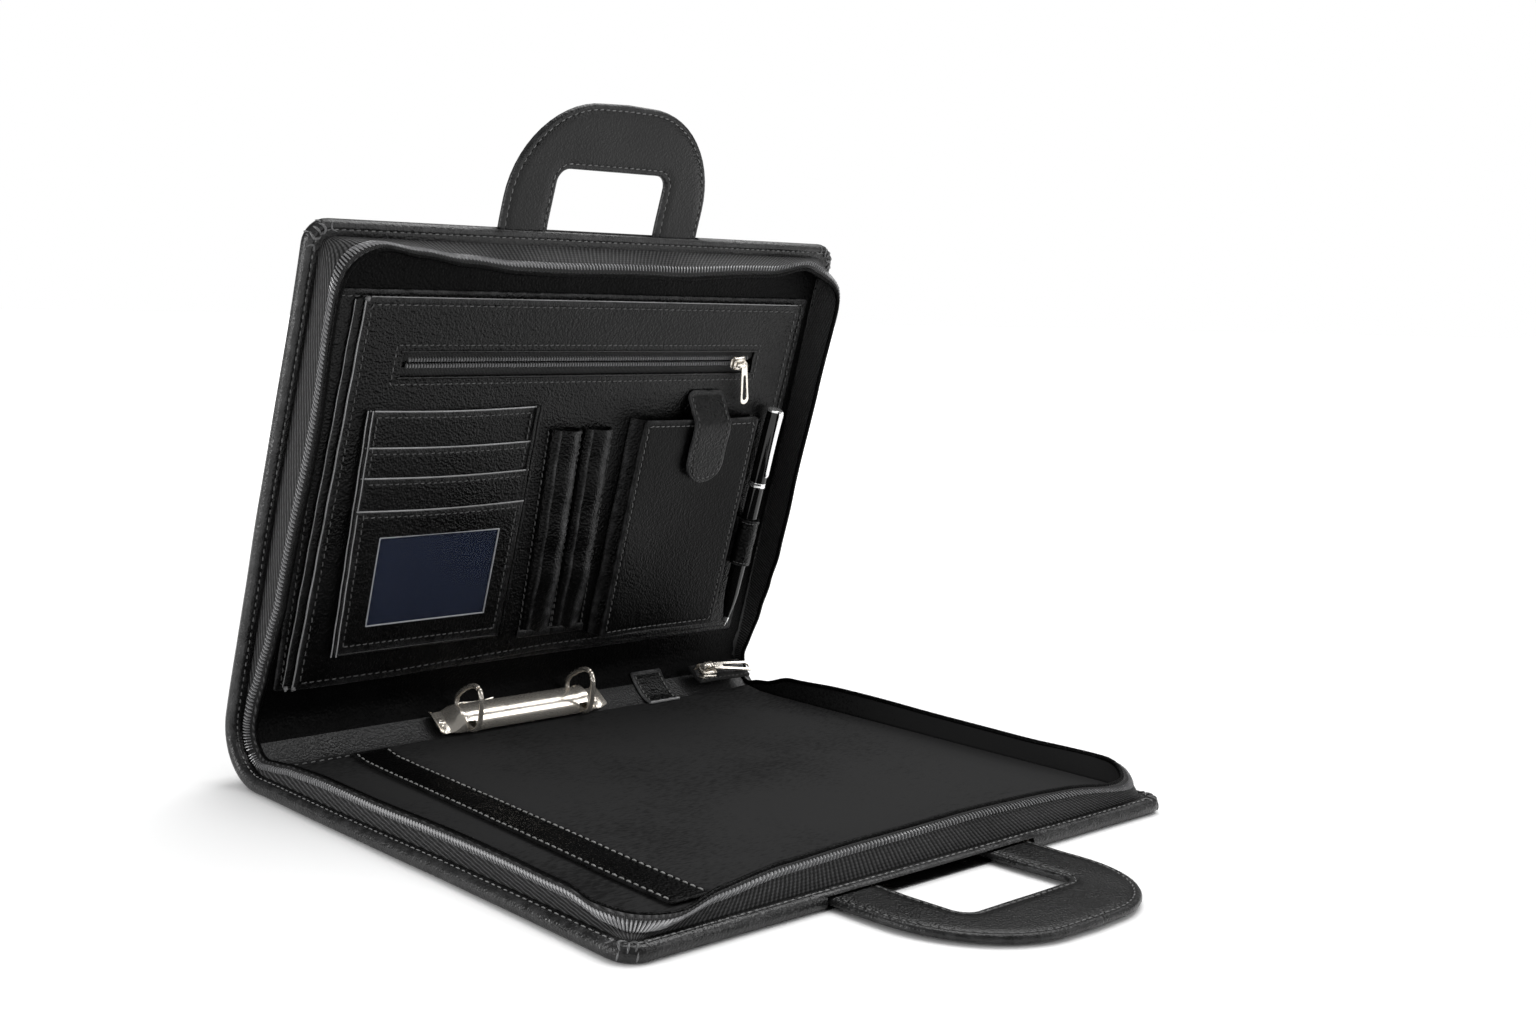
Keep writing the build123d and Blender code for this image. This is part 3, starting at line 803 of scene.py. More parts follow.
def add_stage():
    build = Build(lambda x, w, n: Vector((x, w, n)))
    count = 24
    rows = []
    for radius in (400.0, 1500.0, 6000.0, 30000.0):
        rows.append([build.v(radius * math.cos(2 * math.pi * k / count),
                             radius * math.sin(2 * math.pi * k / count), 0.0)
                     for k in range(count)])
    strip(build, rows, closed=True)
    build.face(rows[0])
    material, tree, shader = start_material("floor_paper", 0.9, 0.05)
    shader.inputs["Base Color"].default_value = (0.94, 0.94, 0.94, 1)
    spot = node(tree, "ShaderNodeTexCoord")
    away = node(tree, "ShaderNodeVectorMath", operation="LENGTH")
    link(tree, spot, "Object", away, 0)
    fade = node(tree, "ShaderNodeMapRange", interpolation_type="SMOOTHSTEP")
    fade.inputs["From Min"].default_value = 0.45
    fade.inputs["From Max"].default_value = 2.4
    link(tree, away, "Value", fade, 0)
    shader.inputs["Emission Color"].default_value = (1, 1, 1, 1)
    link(tree, fade, 0, shader, "Emission Strength")
    floor = build.make("floor", [material])
    world = bpy.data.worlds.new("studio")
    world.use_nodes = True
    tree = world.node_tree
    back = tree.nodes["Background"]
    back.inputs[0].default_value = (1, 1, 1, 1)
    path = node(tree, "ShaderNodeLightPath")
    dull = maths(tree, "MULTIPLY_ADD", b=-0.38)
    dull.inputs[2].default_value = 0.55
    link(tree, path, "Is Glossy Ray", dull, 0)
    level = maths(tree, "MAXIMUM")
    link(tree, dull, 0, level, 0)
    link(tree, path, "Is Camera Ray", level, 1)
    link(tree, level, 0, back, 1)
    bpy.context.scene.world = world
    bpy.context.scene.view_settings.view_transform = "Standard"
    add_light("top_softbox", (0.75, 0.1, 1.7), (0.0, 0.05, 0.1), 1.6, 30)
    add_light("left_softbox", (-1.6, 0.45, 0.35), (0.0, 0.1, 0.15), 0.5, 14, 1.6)
    add_light("front_softbox", (1.2, -1.5, 0.9), (0.0, 0.0, 0.1), 0.8, 7)


add_camera()
add_stage()


# ---------------------------------------------------------------- covers
BORDER_INSET = 11.0
# rim rows of (inset, height, paleness); the paleness is partly scuffing and partly a painted edge highlight
SHELL_RIM = [
    (12.0, 6.3, 0), (11.0, 6.8, 0), (6.0, 6.95, 0), (4.9, 7.0, 0.1), (4.3, 6.72, 0), (3.7, 7.02, 0.3),
             (2.9, 7.12, 0.8),
    (1.9, 6.9, 1.0), (1.0, 6.3, 1.0), (0.35, 5.2, 0.8), (0.06, 3.9, 0.5), (0.0, 3.4, 0.4), (0.06, 2.9, 0.5),
             (0.4, 1.7, 0.8), (1.1, 0.75, 1.0),
    (2.1, 0.2, 0.8), (3.2, 0.0, 0.3), (4.1, 0.28, 0), (4.8, 0.0, 0.1), (6.5, 0.0, 0), (12.0, 0.0, 0)]
SLOT_HALF = 67.6
SLOT_DEEP = 97.0
SLOT_LOW, SLOT_HIGH = 0.95, 5.42
# the two lips and the deep slot between them, in place of the rim's rounded middle
SLOT_RIM = SHELL_RIM[:7] + [
    (1.7, 6.95, 1.0), (0.7, 6.5, 1.0), (0.5, 5.9, 0.8), (1.2, SLOT_HIGH, 0), (SLOT_DEEP, SLOT_HIGH, 0),
    (SLOT_DEEP, SLOT_LOW, 0), (1.2, SLOT_LOW, 0), (0.5, 0.6, 0.6), (1.3, 0.15, 0.8)] + SHELL_RIM[16:]
STITCH_INSET = 4.3          # from the cover's edge to its stitch line
CORNER_RADIUS = 12.0        # of the cover's free corners


def slot_rim(where, way):
    """Where the handle comes out, the rim parts into two lips round a deep slot."""
    x, _ = where(12.0)
    return None if abs(way[1]) < 0.99 or abs(x) > SLOT_HALF else SLOT_RIM


def arc_step(w):
    return 2.0 if SKIN.arc_start - 24 < w < SKIN.arc_end + 24 else 9.0


def soft_skin(x, w, n):
    """The cover's skin with the small unevenness of a glued and folded edge."""
    edge = sum(max(0.0, 1 - gap / 14) for gap in (HALF - abs(x), w - W_FRONT, W_TOP - w))
    side = ripple(x, w, 37, 0.30) * min(1.0, edge)
    lift = ripple(x + 300, w, 55, 0.25) * min(1.0, edge) if n > 3.5 else 0.0
    return skin(x + side * (1 if abs(x) > HALF - 14 else 0.3), w, n + lift)


def add_shells():
    ends = {"base": (W_FRONT, W_MIDDLE), "lid": (W_MIDDLE, W_TOP)}
    for cover, (low, high) in ends.items():
        build = Build(soft_skin)
        cut = ("w1",) if cover == "base" else ("w0",)
        extra = (-SLOT_HALF, SLOT_HALF, -SLOT_HALF - 0.3, SLOT_HALF + 0.3)
        add_plate(build, (-HALF, HALF), (low, high), SHELL_RIM, corner=CORNER_RADIUS, cut=cut, x_step=9.0,
                  w_step=arc_step,
                  extra_x=extra, extra_w=(SKIN.arc_start, SKIN.arc_end), station_profile=slot_rim, under=1)
        shell = build.make(cover + "_shell", [EDGE, LEATHER], 50)
        thread = Build(soft_skin)
        for height in (6.75, 0.25):
            path = cover_path(cover, STITCH_INSET, STITCH_INSET, 9.0)
            stitch_line(thread, [(x, w) for x, w, _, _ in path], height, size=2.7, thick=0.34)
        # the base's edge stitching takes a paler copy of the thread than the lid's, a painted highlight
        threads = thread.make(cover + "_edge_stitching", [EDGE_THREAD_PAINTED_PALE if cover == "base" else SIDE_THREAD_PAINTED_LIGHTER])
        finish_cover(cover, shell, threads)
        names = [cover + "_outer_leather", cover + "_edge_binding"]
        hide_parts(*names)
    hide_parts("spine_leather", "spine_board")
    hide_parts("spine_edge_trim")


def add_corner_folds():
    """The leather gathered round each free corner of the covers."""
    for cover in ("base", "lid"):
        sign = -1 if cover == "base" else 1
        edge = W_FRONT if cover == "base" else W_TOP
        build = Build(soft_skin)
        for side in (-1, 1):
            def spot(d, u, n, side=side):
                """A place by its distance in from the edge, and along it from the corner's middle."""
                half_arc = CORNER_RADIUS * math.pi / 4
                held = max(-half_arc, min(half_arc, u))
                turn = math.pi / 4 + held / CORNER_RADIUS
                a = CORNER_RADIUS - (CORNER_RADIUS - d) * math.cos(turn) + max(0.0, u - held)
                b = CORNER_RADIUS - (CORNER_RADIUS - d) * math.sin(turn) + max(0.0, held - u)
                return soft_skin(side * (HALF - a), edge - sign * b, n)
            wrinkles = [
                [(0.5, -3, 5.6), (1.6, -4, 7.1), (3.6, -5.2, 7.45), (5.4, -3.6, 7.35), (5.7, -0.8, 7.2)],
                [(0.5, 3, 5.6), (1.6, 4.2, 7.1), (3.8, 5.2, 7.45), (5.4, 3.2, 7.35), (5.0, 0.8, 7.2)],
                [(0.3, 0, 5.0), (1.2, 0.3, 6.9), (3.2, 0.6, 7.4), (5.2, 0.1, 7.3)],
                [(0.8, -10.5, 6.6), (2.4, -9, 7.2), (4.2, -9.5, 7.4), (5.3, -12.5, 7.1)],
                [(0.8, 10, 6.6), (2.4, 9.3, 7.2), (4.4, 9.9, 7.4), (5.2, 13, 7.1)],
                [(0.3, -4.2, 1.5), (0.1, -3.7, 3.4), (0.3, -3.2, 5.4)],
                [(0.3, 3.5, 1.5), (0.1, 3.9, 3.4), (0.3, 4.2, 5.4)]]
            for i, knots in enumerate(wrinkles):
                fine = []
                for p, q in zip(knots, knots[1:]):
                    fine += [tuple(i + (j - i) * k / 6 for i, j in zip(p, q)) for k in range(6)]
                fine.append(knots[-1])
                for _ in range(3):
                    middle = [tuple((p + 2 * q + r) / 4 for p, q, r in zip(*near))
                              for near in zip(fine, fine[1:], fine[2:])]
                    fine = [fine[0]] + middle + [fine[-1]]
                points = [spot(d, u, n - 0.2) for d, u, n in fine]
                thick = 0.62 - 0.05 * i
                tube(build, points, lambda part, thick=thick: 0.12 + thick * math.sin(
                    math.pi * min(1.0, 0.08 + part * 0.9)), sides=8)
        folds = build.make(cover + "_corner_folds", [FOLD], 80)
        finish_cover(cover, folds)


def finish_cover(cover, *pieces):
    """Bakes each piece's placement into its mesh; base and lid pieces are treated alike."""
    for piece in pieces:
        if cover == "base":
            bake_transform(piece)
        else:
            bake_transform(piece)


def cover_path(cover, inset_x, inset_w, radius):
    """A U along a cover, from left end to right end: (x, w, outward x, outward w)."""
    n_side, n_corner, n_front = 70, 12, 80
    sign = -1 if cover == "base" else 1
    edge = W_FRONT if cover == "base" else W_TOP
    ax = HALF - inset_x
    turn = edge - sign * (inset_w + radius)
    quarter = [math.pi / 2 * k / n_corner for k in range(n_corner + 1)]
    out = [(-ax, W_MIDDLE + (turn - W_MIDDLE) * k / n_side, -1.0, 0.0) for k in range(n_side)]
    for angle in quarter[:-1]:
        across, along = math.cos(angle), sign * math.sin(angle)
        out.append((-ax + radius - radius * across, turn + radius * along, -across, along))
    for k in range(n_front + 1):
        out.append((-ax + radius + 2 * (ax - radius) * k / n_front, edge - sign * inset_w, 0.0, float(sign)))
    for angle in quarter[1:]:
        across, along = math.sin(angle), sign * math.cos(angle)
        out.append((ax - radius + radius * across, turn + radius * along, across, along))
    return out + [(ax, turn + (W_MIDDLE - turn) * k / n_side, 1.0, 0.0) for k in range(1, n_side + 1)]


# ---------------------------------------------------------------- gussets and the case zip
SPINE_TOP = 11.8


# The zip line's height over the outer skin and its lean, as (place in millimetres, amount) tables.
# FREE is read along x at the free edge, SIDE along the distance from that edge; RIGHT is x > 0.
BASE_FREE_HIGH = [(-165, 12.0), (-140, 12.5), (-116, 16.5), (-80, 19.5),
                  (35, 21.5), (105, 20.0), (150, 16.5), (168, 17.0)]
BASE_FREE_LEAN = [(-165, -1.5), (-140, -2.5), (-100, 0.5), (-20, 2.0), (80, 1.0), (140, -2.0), (160, -5.0)]
BASE_LEFT_HIGH = [(10, 12.5), (30, 13.5), (50, 16.4), (90, 17.2),
                  (220, 17.2), (250, 16.0), (268, 14.5), (290, SPINE_TOP)]
BASE_RIGHT_HIGH = [(6, 17.0), (25, 21.0), (60, 21.4), (120, 22.0),
                   (200, 22.5), (240, 21.0), (262, 15.5), (285, SPINE_TOP)]
BASE_SIDE_LEAN = [(10, -1.5), (40, -0.5), (120, 0.3), (240, 0.0)]
BASE_RIGHT_LEAN = [(0, -7.0), (30, -5.0), (80, -1.5), (160, -1.5), (240, -0.5)]
LID_FREE_HIGH = [(-160, 19.0), (-120, 20.5), (0, 21.0), (120, 20.5), (165, 19.0)]
LID_FREE_LEAN = [(-158, -2.0), (-140, -2.4), (-118, 0.5), (-92, 3.5), (-60, 6.5), (40, 6.5), (110, 3.0),
                 (140, -1.0)]
LID_SIDE_HIGH = [(0, 19.5), (40, 21.0), (90, 22.0), (150, 21.5), (185, 20.0),
                 (205, 17.5), (225, 14.5), (243, 12.0), (262, SPINE_TOP)]
LID_SIDE_LEAN = [(8, -1.5), (40, 1.0), (100, 1.8), (170, 0.5), (240, 0.0)]
LID_RIGHT_LEAN = [(0, -10.0), (30, -10.5), (80, -8.0), (140, -6.5), (200, -8.0), (235, -8.5), (262, -5.0)]
FREE_SHARE = [(0.25, 0.0), (0.95, 1.0)]     # how far the free edge's tables count, by the outward w


def gusset_top(cover, x, w, out_w):
    """Height of the zip line over the outer skin, and how far it leans in from its seam."""
    if cover == "base":
        t = w - W_FRONT
        free = between(BASE_FREE_HIGH, x), between(BASE_FREE_LEAN, x)
        high = between(BASE_RIGHT_HIGH if x > 0 else BASE_LEFT_HIGH, t)
        lean = between(BASE_SIDE_LEAN, t)
        if x > 0:
            lean += between(BASE_RIGHT_LEAN, t)
    else:
        t = W_TOP - w
        free = between(LID_FREE_HIGH, x), between(LID_FREE_LEAN, x)
        high = between(LID_SIDE_HIGH, t)
        lean = between(LID_SIDE_LEAN, t)
        if x > 0:
            lean += between(LID_RIGHT_LEAN, t)
    share = between(FREE_SHARE, abs(out_w))
    return high + (free[0] - high) * share, lean + (free[1] - lean) * share


def add_gussets():
    seam = BORDER_INSET
    for cover in ("base", "lid"):
        lower = cover_path(cover, 7.2, 7.2, 7.0)
        upper = cover_path(cover, seam - 0.4, seam - 0.4, 27.0)
        place = skin
        wall, tape, bead, teeth = Build(place), Build(place), Build(place), Build(place)
        rows, tape_rows, crest = [], [], []
        along = phase = 0.0
        for k, ((ax, aw, _, _), (bx, bw, ex, ew)) in enumerate(zip(lower, upper)):
            if k:
                along += math.dist((bx, bw), upper[k - 1][:2])
            high, lean = gusset_top(cover, bx, bw, ew)
            lean += ripple(along, 3.0, 46, 0.7)
            high += ripple(along, 40.0, 60, 0.5)
            tx, tw = bx - ex * lean, bw - ew * lean
            arc = 1.0 if SKIN.arc_start - 10 < bw < SKIN.arc_end + 16 else 0.0
            row, tape_row = [], []
            tall = high - 6.4
            grain = math.radians(72 - 44 * abs(ew))
            if k:
                phase += math.dist((bx, bw), upper[k - 1][:2]) * math.cos(grain)
            for part, out in ((0.0, 0.0), (0.2, 0.25), (0.45, 0.5), (0.7, 0.35), (0.9, 0.1), (0.985, -0.9)):
                px, pw = ax + (tx - ax) * part, aw + (tw - aw) * part
                swell = out * min(1.0, tall / 12) + ripple(along, part * 30, 24,
                                                           0.35) * math.sin(math.pi * min(1, part))
                n = 6.4 + tall * part
                row.append(wall.raw(place(px + ex * swell, pw + ew * swell, n),
                                    ((phase + n * math.sin(grain)) * MM, n * MM, 0)))
            for part, into in ((0.985, 2.2), (0.7, 2.0), (0.35, 1.9), (0.0, 1.8)):
                px, pw = ax + (tx - ax) * part, aw + (tw - aw) * part
                n = 6.4 + tall * part
                row.append(wall.raw(place(px - ex * into, pw - ew * into, n), (along * MM, n * MM, 0)))
            rows.append(row)
            cut = 3.9 if not arc else 3.2
            for n, out in ((high - cut, 0.55), (high - cut + 0.5, 0.95), (high - 1.5, 0.75),
                           (high - 0.7, 0.25), (high - 0.7, -0.5), (high - cut, -0.3)):
                part = (n - 6.4) / max(1.0, tall)
                px, pw = ax + (tx - ax) * part, aw + (tw - aw) * part
                tape_row.append(tape.raw(place(px + ex * out, pw + ew * out, n), (along * MM, n * MM, 0)))
            tape_rows.append(tape_row)
            crest.append((tx, tw, high, ex, ew, ax, aw, tall))
        strip(wall, rows, closed=True, slot=[0, 0, 0, 0, 0, 1, 1, 1, 1, 1], caps=True)
        strip(tape, tape_rows, closed=True, caps=True)
        tube(bead, [place(tx - ex * 1.5, tw - ew * 1.5, high - 0.6)
                    for tx, tw, high, ex, ew, _, _, _ in crest], 1.25, sides=8)
        add_teeth(teeth, place, crest, 2.05)
        lining = SUEDE if cover == "base" else INNER_TWILL
        wall_piece = wall.make(cover + "_gusset_wall", [TWILL, lining], 60)
        tape_piece = tape.make(cover + "_zip_tape_strip", [TAPE], 60)
        bead_piece = bead.make(cover + "_zip_piping", [LINING], 80)
        teeth_piece = teeth.make(cover + "_zip_teeth_row", [TEETH], 30)
        finish_cover(cover, wall_piece, tape_piece, bead_piece, teeth_piece)
        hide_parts(cover + "_gusset")
        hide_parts(cover + "_zip_tape")
        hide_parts(cover + "_zip_teeth")
        flat_tall = sum(c[7] for c in crest) / len(crest) + 1.0
    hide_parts("end_gusset_left", "end_gusset_right")


def add_teeth(build, place, crest, pitch):
    """A row of small rounded coil teeth along the zip line."""
    line = [(c[0], c[1], c[2]) for c in crest]
    runs = []
    total = 0.0
    for a, b in zip(line, line[1:]):
        size = math.dist(a, b)
        runs.append((total, size))
        total += size
    k = 0
    s = pitch
    while s < total - pitch:
        while k < len(runs) - 1 and runs[k][0] + runs[k][1] < s:
            k += 1
        part = (s - runs[k][0]) / runs[k][1]
        a, b = crest[k], crest[k + 1]
        x, w, n, ex, ew, ax, aw, tall = (p + (q - p) * part for p, q in zip(a, b))
        way = Vector((b[0] - a[0], b[1] - a[1])).normalized()
        half = pitch * 0.24
        leanx, leanw = (x - ax) / max(1.0, tall), (w - aw) / max(1.0, tall)
        rows = []
        for down, long, out in ((4.0, 0.55, 0.95), (3.5, 1.0, 1.7), (1.9, 1.0, 1.9), (1.2, 0.55, 1.1)):
            cx, cw = x - leanx * down, w - leanw * down
            ring = []
            for sx, so in ((-1, 0.2), (-0.6, 1.0), (0.6, 1.0), (1, 0.2)):
                px = cx + way.x * half * long * sx + ex * (0.5 + (out - 0.5) * so)
                pw = cw + way.y * half * long * sx + ew * (0.5 + (out - 0.5) * so)
                ring.append(build.raw(place(px, pw, n - down), (s * MM, down * MM, 0)))
            rows.append(ring)
        strip(build, rows, closed=True, caps=True)
        s += pitch


# ---------------------------------------------------------------- linings
def add_linings():
    inset = BORDER_INSET + 1.2
    half = HALF - inset
    seam_v = liner_v(*back_yz(20.0, -3.0))
    base_end = seam_v + 3.0
    split = liner_v(*back_yz(37.0, -2.8))
    v_front = liner_v(FRONT, COVER)
    base_low = v_front + inset
    lid_high = liner_v(*lid_yz(DEPTH - inset, COVER))

    def fine(v):
        return 2.5 if seam_v - 40 < v < split + 50 else 9.0

    def base_place(x, v, n):
        side = max(0.0, 1 - (half - abs(x)) / 9)
        front_side = max(0.0, 1 - (v - base_low) / 9)
        lift = 2.2 * max(side, front_side) ** 2
        return liner(x, v, n + lift + ripple(x, v, 90, 0.25))

    build = Build(base_place)
    rim = [(3.0, 0.25, 0), (1.5, 0.3, 0), (0.6, 0.25, 0.6), (0.1, 0.0, 0.6), (0.0, -0.4, 0), (3.0, -0.6, 0)]
    add_plate(build, (-half, half), (base_low, base_end), rim, corner=5.0, x_step=9.0, w_step=fine)
    piece = build.make("base_lining_cloth", [SUEDE], 50)
    thread = Build(base_place)
    stitch_line(thread, [(-half + 8, base_end - 2.2), (half - 8, base_end - 2.2)], 0.35, pitch=5.0, size=3.2)
    stitch_line(thread, [(half - 13, base_end - 6), (half - 13, base_low + 30)], 0.35, pitch=5.0, size=3.2)
    threads = thread.make("base_seam_stitching", [SIDE_THREAD_PAINTED_LIGHTER])
    finish_cover("base", piece, threads)
    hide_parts("base_lining")

    def spine_place(x, v, n):
        wide = between([(seam_v - 60, 0.0), (seam_v, 2.5), (split + 20, 4.5), (split + 120, 3.0),
                        (lid_high, 0.0)], v)
        return liner(x + wide * (x / half) ** 3, v, n + ripple(x, v, 40, 0.25))

    low_rim = [(3.0, -0.05, 0), (0.5, -0.05, 0), (0.0, -0.4, 0), (3.0, -0.8, 0)]
    build = Build(spine_place)
    add_plate(build, (-half - 2, half + 2), (seam_v - 14, split), low_rim, cut=("w0", "w1"), x_step=9.0,
              w_step=2.0)
    piece = build.make("spine_lining_leather", [SPINE], 50)
    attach(piece, "spine")
    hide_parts("spine_lining")
    build = Build(spine_place)
    add_plate(build, (-half - 2, half + 2), (split, lid_high + 2), low_rim, cut=("w0",), x_step=9.0,
              w_step=fine)
    piece = build.make("lid_lining_leather", [LINING], 50)
    finish_cover("lid", piece)
    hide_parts("lid_lining")


# ---------------------------------------------------------------- handles
def add_handle(cover):
    node_name = cover + "_handle"
    low = corner(node_name, 0)
    if cover == "base":
        place, tip = on_base, DEPTH + (FRONT - low.y)
    else:
        place = on_lid
        tip = max((Vector(v.co) / MM - LID_CREASE).dot(UP) for v in frame["nodes"][node_name].data.vertices)
    half, open_half, grip, arch, inner = 66.0, 36.0, 33.5, 50.0, 7.0
    root = tip - 100.0
    outer, inside = [], []
    for k in range(26):
        part = k / 26
        outer.append((-half, root + (tip - arch - root) * part))
        inside.append((-open_half, root + (tip - grip - inner - root) * part))
    for k in range(15):
        angle = math.pi / 2 * k / 14
        outer.append((-half + arch - arch * math.cos(angle), tip - arch + arch * math.sin(angle)))
        inside.append((-open_half + inner - inner * math.cos(angle),
                       tip - grip - inner + inner * math.sin(angle)))
    for k in range(1, 9):
        part = k / 8
        outer.append(((-half + arch) * (1 - part), tip + 0.6 * part))
        inside.append(((-open_half + inner) * (1 - part), tip - grip))
    outer += [(-x, t) for x, t in reversed(outer[:-1])]
    inside += [(-x, t) for x, t in reversed(inside[:-1])]
    low_n, high_n = 1.4, 4.95
    middle = (low_n + high_n) / 2
    face = [(0.0, middle, 0.8), (0.12, high_n - 1.1, 1.0), (0.6, high_n - 0.35, 1.0),
            (1.6, high_n - 0.02, 0.5), (2.7, high_n, 0),
            (3.2, high_n - 0.28, 0), (3.7, high_n + 0.03, 0), (8.0, high_n + 0.15, 0)]
    back = [(d, low_n + high_n - n, wear_and_highlight) for d, n, wear_and_highlight in face]
    flat_place = place
    skew = 0.035 if cover == "lid" else 0.075

    def place(x, t, n):
        return flat_place(x + max(0.0, t - root - 40) * skew, t, n)

    build, thread = Build(place), Build(place)
    rows = []
    for (ox, ot), (ix, it) in zip(outer, inside):
        wide = math.dist((ox, ot), (ix, it))
        ux, ut = (ox - ix) / wide, (ot - it) / wide
        loop = [(ix + ux * d, it + ut * d, n, w) for d, n, w in face]
        loop += [(ox - ux * d, ot - ut * d, n, w) for d, n, w in reversed(face)]
        loop += [(ox - ux * d, ot - ut * d, n, w) for d, n, w in back[1:]]
        loop += [(ix + ux * d, it + ut * d, n, w) for d, n, w in reversed(back[1:])]
        rows.append([build.v(x, t, n + ripple(x, t, 30, 0.12) * (1 if n > middle else 0), w)
                     for x, t, n, w in loop])
    strip(build, rows, closed=True, caps=True)
    piece = build.make(cover + "_handle_leather", [HANDLE], 50)
    for d, line, other in ((3.0, inside, outer), (3.0, outer, inside)):
        path = []
        for (ax, at), (bx, bt) in zip(line, other):
            wide = math.dist((ax, at), (bx, bt))
            path.append((ax + (bx - ax) * d / wide, at + (bt - at) * d / wide))
        for n in (high_n - 0.26, low_n + 0.26):
            stitch_line(thread, path, n, pitch=4.0, size=2.8, thick=0.36)
    threads = thread.make(cover + "_handle_stitching", [SIDE_THREAD_PAINTED_LIGHTER])
    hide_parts(node_name)
    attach(piece, node_name)
    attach(threads, node_name)


# ---------------------------------------------------------------- base pocket
def add_base_pocket():
    v_front = liner_v(FRONT, COVER)
    to_v = v_front - FRONT

    def place(x, v, n):
        side = max(0.0, 1 - (163.0 - x) / 14)
        front = max(0.0, 1 - (v - v_front - 13) / 9)
        return liner(x, v, n + 2.4 * max(side, front * 0.8) ** 2 + ripple(x, v, 110, 0.3))

    seam = liner_v(*back_yz(20.0, -3.0)) + 1.5
    low, high = corner("base_pocket_panel", 0), corner("base_pocket_panel", 1)
    rim = [(4.0, 1.1, 0), (1.5, 1.15, 0), (0.5, 1.0, 0.3), (0.0, 0.7, 0.3), (0.0, 0.35, 0), (4.0, 0.3, 0)]

    def fine(v):
        return 2.5 if v > BASE_CREASE.y + to_v - 14 else 9.0

    build = Build(place)
    add_plate(build, (low.x + 3, high.x - 0.6), (low.y + to_v - 1, seam), rim, corner=3.0, x_step=9.0,
              w_step=fine)
    panel = build.make("base_pocket_cloth", [SUEDE], 50)
    hem_low, hem_high = corner("base_pocket_hem", 0), corner("base_pocket_hem", 1)
    slope = math.tan(math.radians(2.4))
    middle_x = (hem_low.x + hem_high.x) / 2

    def hem_place(x, v, n):
        lean = (v - to_v) * slope
        return place(middle_x + x + lean, v, n + ripple(v, 9.0, 30, 0.18))

    half = 11.5
    rim = [(3.6, 2.35, 0), (2.7, 2.3, 0), (2.2, 2.08, 0), (1.7, 2.3, 0.2), (0.8, 2.2, 0.5), (0.15, 1.8, 0.6),
           (0.0, 1.45, 0.3), (0.2, 1.2, 0), (3.6, 1.15, 0)]
    build, thread = Build(hem_place), Build(hem_place)
    ends = (hem_low.y + to_v + 1, seam - 1.0)
    add_plate(build, (-half, half), ends, rim, corner=2.0, x_step=5.0, w_step=fine)
    hem = build.make("base_hem_leather", [LINING], 50)
    for x in (-half + 2.2, half - 2.2):
        stitch_line(thread, [(x, ends[0] + 3), (x, ends[1] - 2)], 2.26, pitch=4.6, size=3.0, thick=0.40)
    # the hem's stitches take the palest copy of the thread, a painted highlight
    threads = thread.make("base_hem_stitching", [THREAD_PAINTED_HIGHLIGHT])
    for piece in (panel, hem, threads):
        finish_cover("base", piece)
    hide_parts("base_pocket_panel")
    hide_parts("base_pocket_hem")


# ---------------------------------------------------------------- the lid's organiser
def lid_extent(node_name):
    """Lowest and highest (x, t, n) of a node in the lid's own frame."""
    found = []
    for v in frame["nodes"][node_name].data.vertices:
        p = Vector(v.co) / MM
        q = p - LID_CREASE
        found.append((p.x, q.dot(UP), q.dot(IN)))
    return [min(f[i] for f in found) for i in range(3)], [max(f[i] for f in found) for i in range(3)]


def soft_lid(size=70.0, high=0.35):
    return lambda x, t, n: on_lid(x, t, n + ripple(x, t, size, high))


def outline_path(x, t, inset, radius=2.0):
    """A closed rectangle of flat points, inset, with small corners."""
    x0, x1, t0, t1 = x[0] + inset, x[1] - inset, t[0] + inset, t[1] - inset
    out = []
    for cx, ct, start in ((x1 - radius, t0 + radius, -90), (x1 - radius, t1 - radius, 0),
                          (x0 + radius, t1 - radius, 90), (x0 + radius, t0 + radius, 180)):
        for k in range(5):
            angle = math.radians(start + 90 * k / 4)
            out.append((cx + radius * math.cos(angle), ct + radius * math.sin(angle)))
    return out + [out[0]]


def thin_rim(high, thick, groove=None, wear_and_highlight=1.0):
    """The rim of a leather piece with a folded edge, and a stitched groove if asked. Its rounded edge is
    painted paler, partly scuffing and partly a painted edge highlight.
    """
    rim = [(5.5, high, 0)]
    if groove:
        rim += [(groove + 0.8, high, 0), (groove, high - 0.22, 0), (groove - 0.8, high + 0.02, 0.1)]
    rim += [(1.2, high, 0.35 * wear_and_highlight), (0.55, high - 0.1 * thick, wear_and_highlight), (0.12, high - 0.32 * thick, wear_and_highlight),
            (0.0, high - 0.55 * thick, 0.5 * wear_and_highlight),
            (0.15, high - 0.85 * thick, 0), (0.6, high - thick, 0), (5.5, high - thick, 0)]
    return rim


def leaning(x, t):
    """The organiser's left edge leans out and down towards its lower corner."""
    near = max(0.0, min(1.0, (10.0 - x) / 150.0))
    foot = max(0.0, min(1.0, (60.0 - t) / 40.0))
    return x + near * (3.0 - 8.6 * (220.0 - t) / 200.0), t - 3.6 * foot * min(1.0, near * 1.6)


